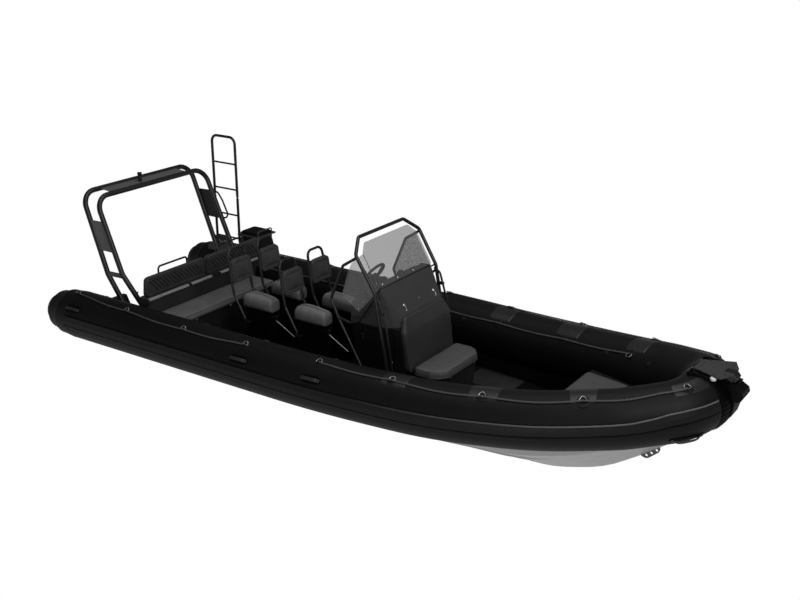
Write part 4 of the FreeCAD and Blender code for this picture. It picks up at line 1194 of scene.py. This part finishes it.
def make_feet():
    """Round flanges with their bolts where the hoop and the rails stand on the deck."""
    flanges, bolts = Build(), Build()
    for x, radius in ((0.640, 36), (0.560, 30), (0.436, 30)):       # radius in millimetres
        flange = 28, (0.8, radius + 18), (6, radius + 18), (8, radius + 15), (9, radius - 12)
        reach = (radius + 8) * MM
        for y in (0.600, -0.600):
            flanges.lathe((x, y, DECK_Z), UP, flange)
            for a in (radians(45 + 90 * n) for n in range(4)):
                bolts.lathe((x + reach * cos(a), y + reach * sin(a), DECK_Z + 0.008), UP, FLANGE_BOLT)
    flanges.crisp("rail_flanges", BLACK)
    bolts.crisp("flange_bolts", STEEL)


def make_bench_trim():
    """Bright capping in lengths along the bench's shelf, and the lip below it."""
    strips = Build()
    for y0, y1 in ((-1.040, -0.854), (-0.846, -0.380), (-0.329, 0.031), (0.192, 1.040)):
        strips.block((-2.556, (y0 + y1) / 2, 0.8335), (0.014, (y1 - y0) / 2, 0.0032), bevel=0.002)
        strips.block((-2.5395, (y0 + y1) / 2, 0.824), (0.002, (y1 - y0) / 2, 0.011), bevel=0.001)
    strips.crisp("bench_capping", BRIGHT)


def make_stern():
    """Box under the boarding step, a bent handle on the arch leg, arch lamp and transom fittings."""
    box, handle, lamp, plates, bolts = (Build() for _ in range(5))
    box.block((-2.900, 1.290, 0.930), (0.165, 0.150, 0.128), bevel=0.02)
    bends = [(-3.322, 0.938, 1.596), (-3.258, 0.955, 1.618), (-3.175, 0.955, 1.510), (-3.085, 0.955, 1.325),
             (-3.120, 0.955, 1.275), (-3.192, 0.940, 1.268)]
    handle.pipe(arc_points(bends, 0.05, 0.02), 0.012, 12)
    lamp.lathe((-3.575, -0.090, 1.975), UP, ARCH_LAMP)
    for y in (-0.55, 0.55):
        plates.lathe((TUBE_END_X, y, 0.420), ASTERN, TRANSOM_PLATE)
    for y in (-0.80, -0.30, 0.30, 0.80):
        bolts.lathe((TUBE_END_X, y, 0.500), ASTERN, TRANSOM_BOLT)
    box.crisp("stern_box", BASE)
    handle.soft("arch_handle", BLACK)
    lamp.crisp("arch_lamp_cap", BLACK)
    plates.crisp("transom_plates", STEEL)
    bolts.crisp("transom_bolts", STEEL)


# Stage, lights and camera --------------------------------------------------------------
# height in the studio (0 straight down, 1 straight up) and the tone there
SKY = (0.0, 0.50, 0.60, 1.0), (0.60, 0.36, 0.11, 0.09)
# place, aim, size, power
SOFTBOXES = [
    ((1.0, 0.5, 8.5), (0, 0, 0.5), 6.0, 230),
    ((7.2, -4.2, 6.6), (-0.5, 0, 0.8), 4.0, 360),
    ((3.0, -7.5, -0.2), (2.5, 0, -0.2), 2.0, 60),
]
FLOOR_HALF, FLOOR_GAP, DOME_R = 120, 0.004, 170


def make_stage():
    """White floor just under the keel, and white surroundings that the camera sees and no light does."""
    n = material_nodes("studio_white")
    n.add("OutputMaterial", {"Surface": n.add("Emission", {"Color": (1, 1, 1, 1)}).outputs[0]})
    mesh = bpy.data.meshes.new("floor")
    corners = [(-1, -1), (1, -1), (1, 1), (-1, 1)]
    mesh.from_pydata([(FLOOR_HALF * x, FLOOR_HALF * y, 0) for x, y in corners], [], [(0, 1, 2, 3)])
    floor = bpy.data.objects.new("floor", mesh)
    floor.location.z = KEEL_Z - FLOOR_GAP
    bpy.context.scene.collection.objects.link(floor)
    bpy.ops.mesh.primitive_ico_sphere_add(subdivisions=4, radius=DOME_R)
    dome = bpy.context.object
    dome.name = "backdrop"
    dome.visible_shadow = dome.visible_transmission = False
    for piece in (floor, dome):
        piece.data.materials.append(n.owner)
        piece.visible_diffuse = piece.visible_glossy = False


def make_lights():
    """A pale studio whose floor and walls are brighter than its ceiling, and three softboxes."""
    n = Nodes(bpy.data.worlds.new("studio"))
    height = n.add("MapRange", {"Value": n.split(n.way)["Z"], "From Min": -1.0}).outputs["Result"]
    glow = n.add("Background", {"Color": n.ramp(height, *SKY), "Strength": 1.0})
    n.add("OutputWorld", {"Surface": glow.outputs[0]})
    bpy.context.scene.world = n.owner
    for index, (place, aim, size, power) in enumerate(SOFTBOXES):
        data = bpy.data.lights.new("softbox%d" % index, "AREA")
        data.shape, data.size, data.energy = "SQUARE", size, power
        lamp = bpy.data.objects.new("softbox%d" % index, data)
        bpy.context.scene.collection.objects.link(lamp)
        lamp.location = place
        lamp.rotation_mode = "QUATERNION"
        lamp.rotation_quaternion = (Vector(aim) - Vector(place)).to_track_quat("-Z", "Y")
    bpy.context.scene.view_settings.view_transform = "Standard"


CAMERA_PLACE = (6.700, -9.432, 5.293)
CAMERA_AZIMUTH, CAMERA_ELEVATION = 34.05, 20.2      # degrees
FILM_WIDTH, LENS = 36.0, 49.25      # millimetres


def make_camera():
    data = bpy.data.cameras.new("camera")
    data.sensor_width, data.lens = FILM_WIDTH, LENS
    data.clip_start, data.clip_end = 0.1, 400
    camera = bpy.data.objects.new("camera", data)
    bpy.context.scene.collection.objects.link(camera)
    azimuth, elevation = radians(CAMERA_AZIMUTH), radians(CAMERA_ELEVATION)
    back = Vector((sin(azimuth) * cos(elevation), -cos(azimuth) * cos(elevation), sin(elevation)))
    right = Vector((cos(azimuth), sin(azimuth), 0))
    turn = Matrix((right, back.cross(right), back)).transposed()
    camera.matrix_world = Matrix.Translation(CAMERA_PLACE) @ turn.to_4x4()
    bpy.context.scene.camera = camera


for make in (make_life_lines, make_wear_patches, make_strake_trim, make_handles, make_valves, make_nose,
             make_saddles, make_back_pads, make_bench_pads, make_flat_pads):
    make()
knuckles("console_seat_knuckles", "seat_lid", 1.144, 0.458, (1.140, 1.148, 0.458, 0.474), (0.25, -0.25))
knuckles("bench_knuckles", "bench_seat", -2.227, 0.508, (-2.231, -2.228, 0.508, 0.524), (0.6, 0.0, -0.6))
knuckles("locker_knuckles", "locker_lid", 2.974, 0.557, (2.952, 2.974, 0.557, 0.561), (0.2, -0.2))
for make in (make_glazing, make_wheel, make_dash, make_console_front, make_deck_fittings, make_seat_fittings,
             make_feet, make_bench_trim, make_stern, make_stage, make_lights, make_camera):
    make()

bpy.context.view_layer.update()
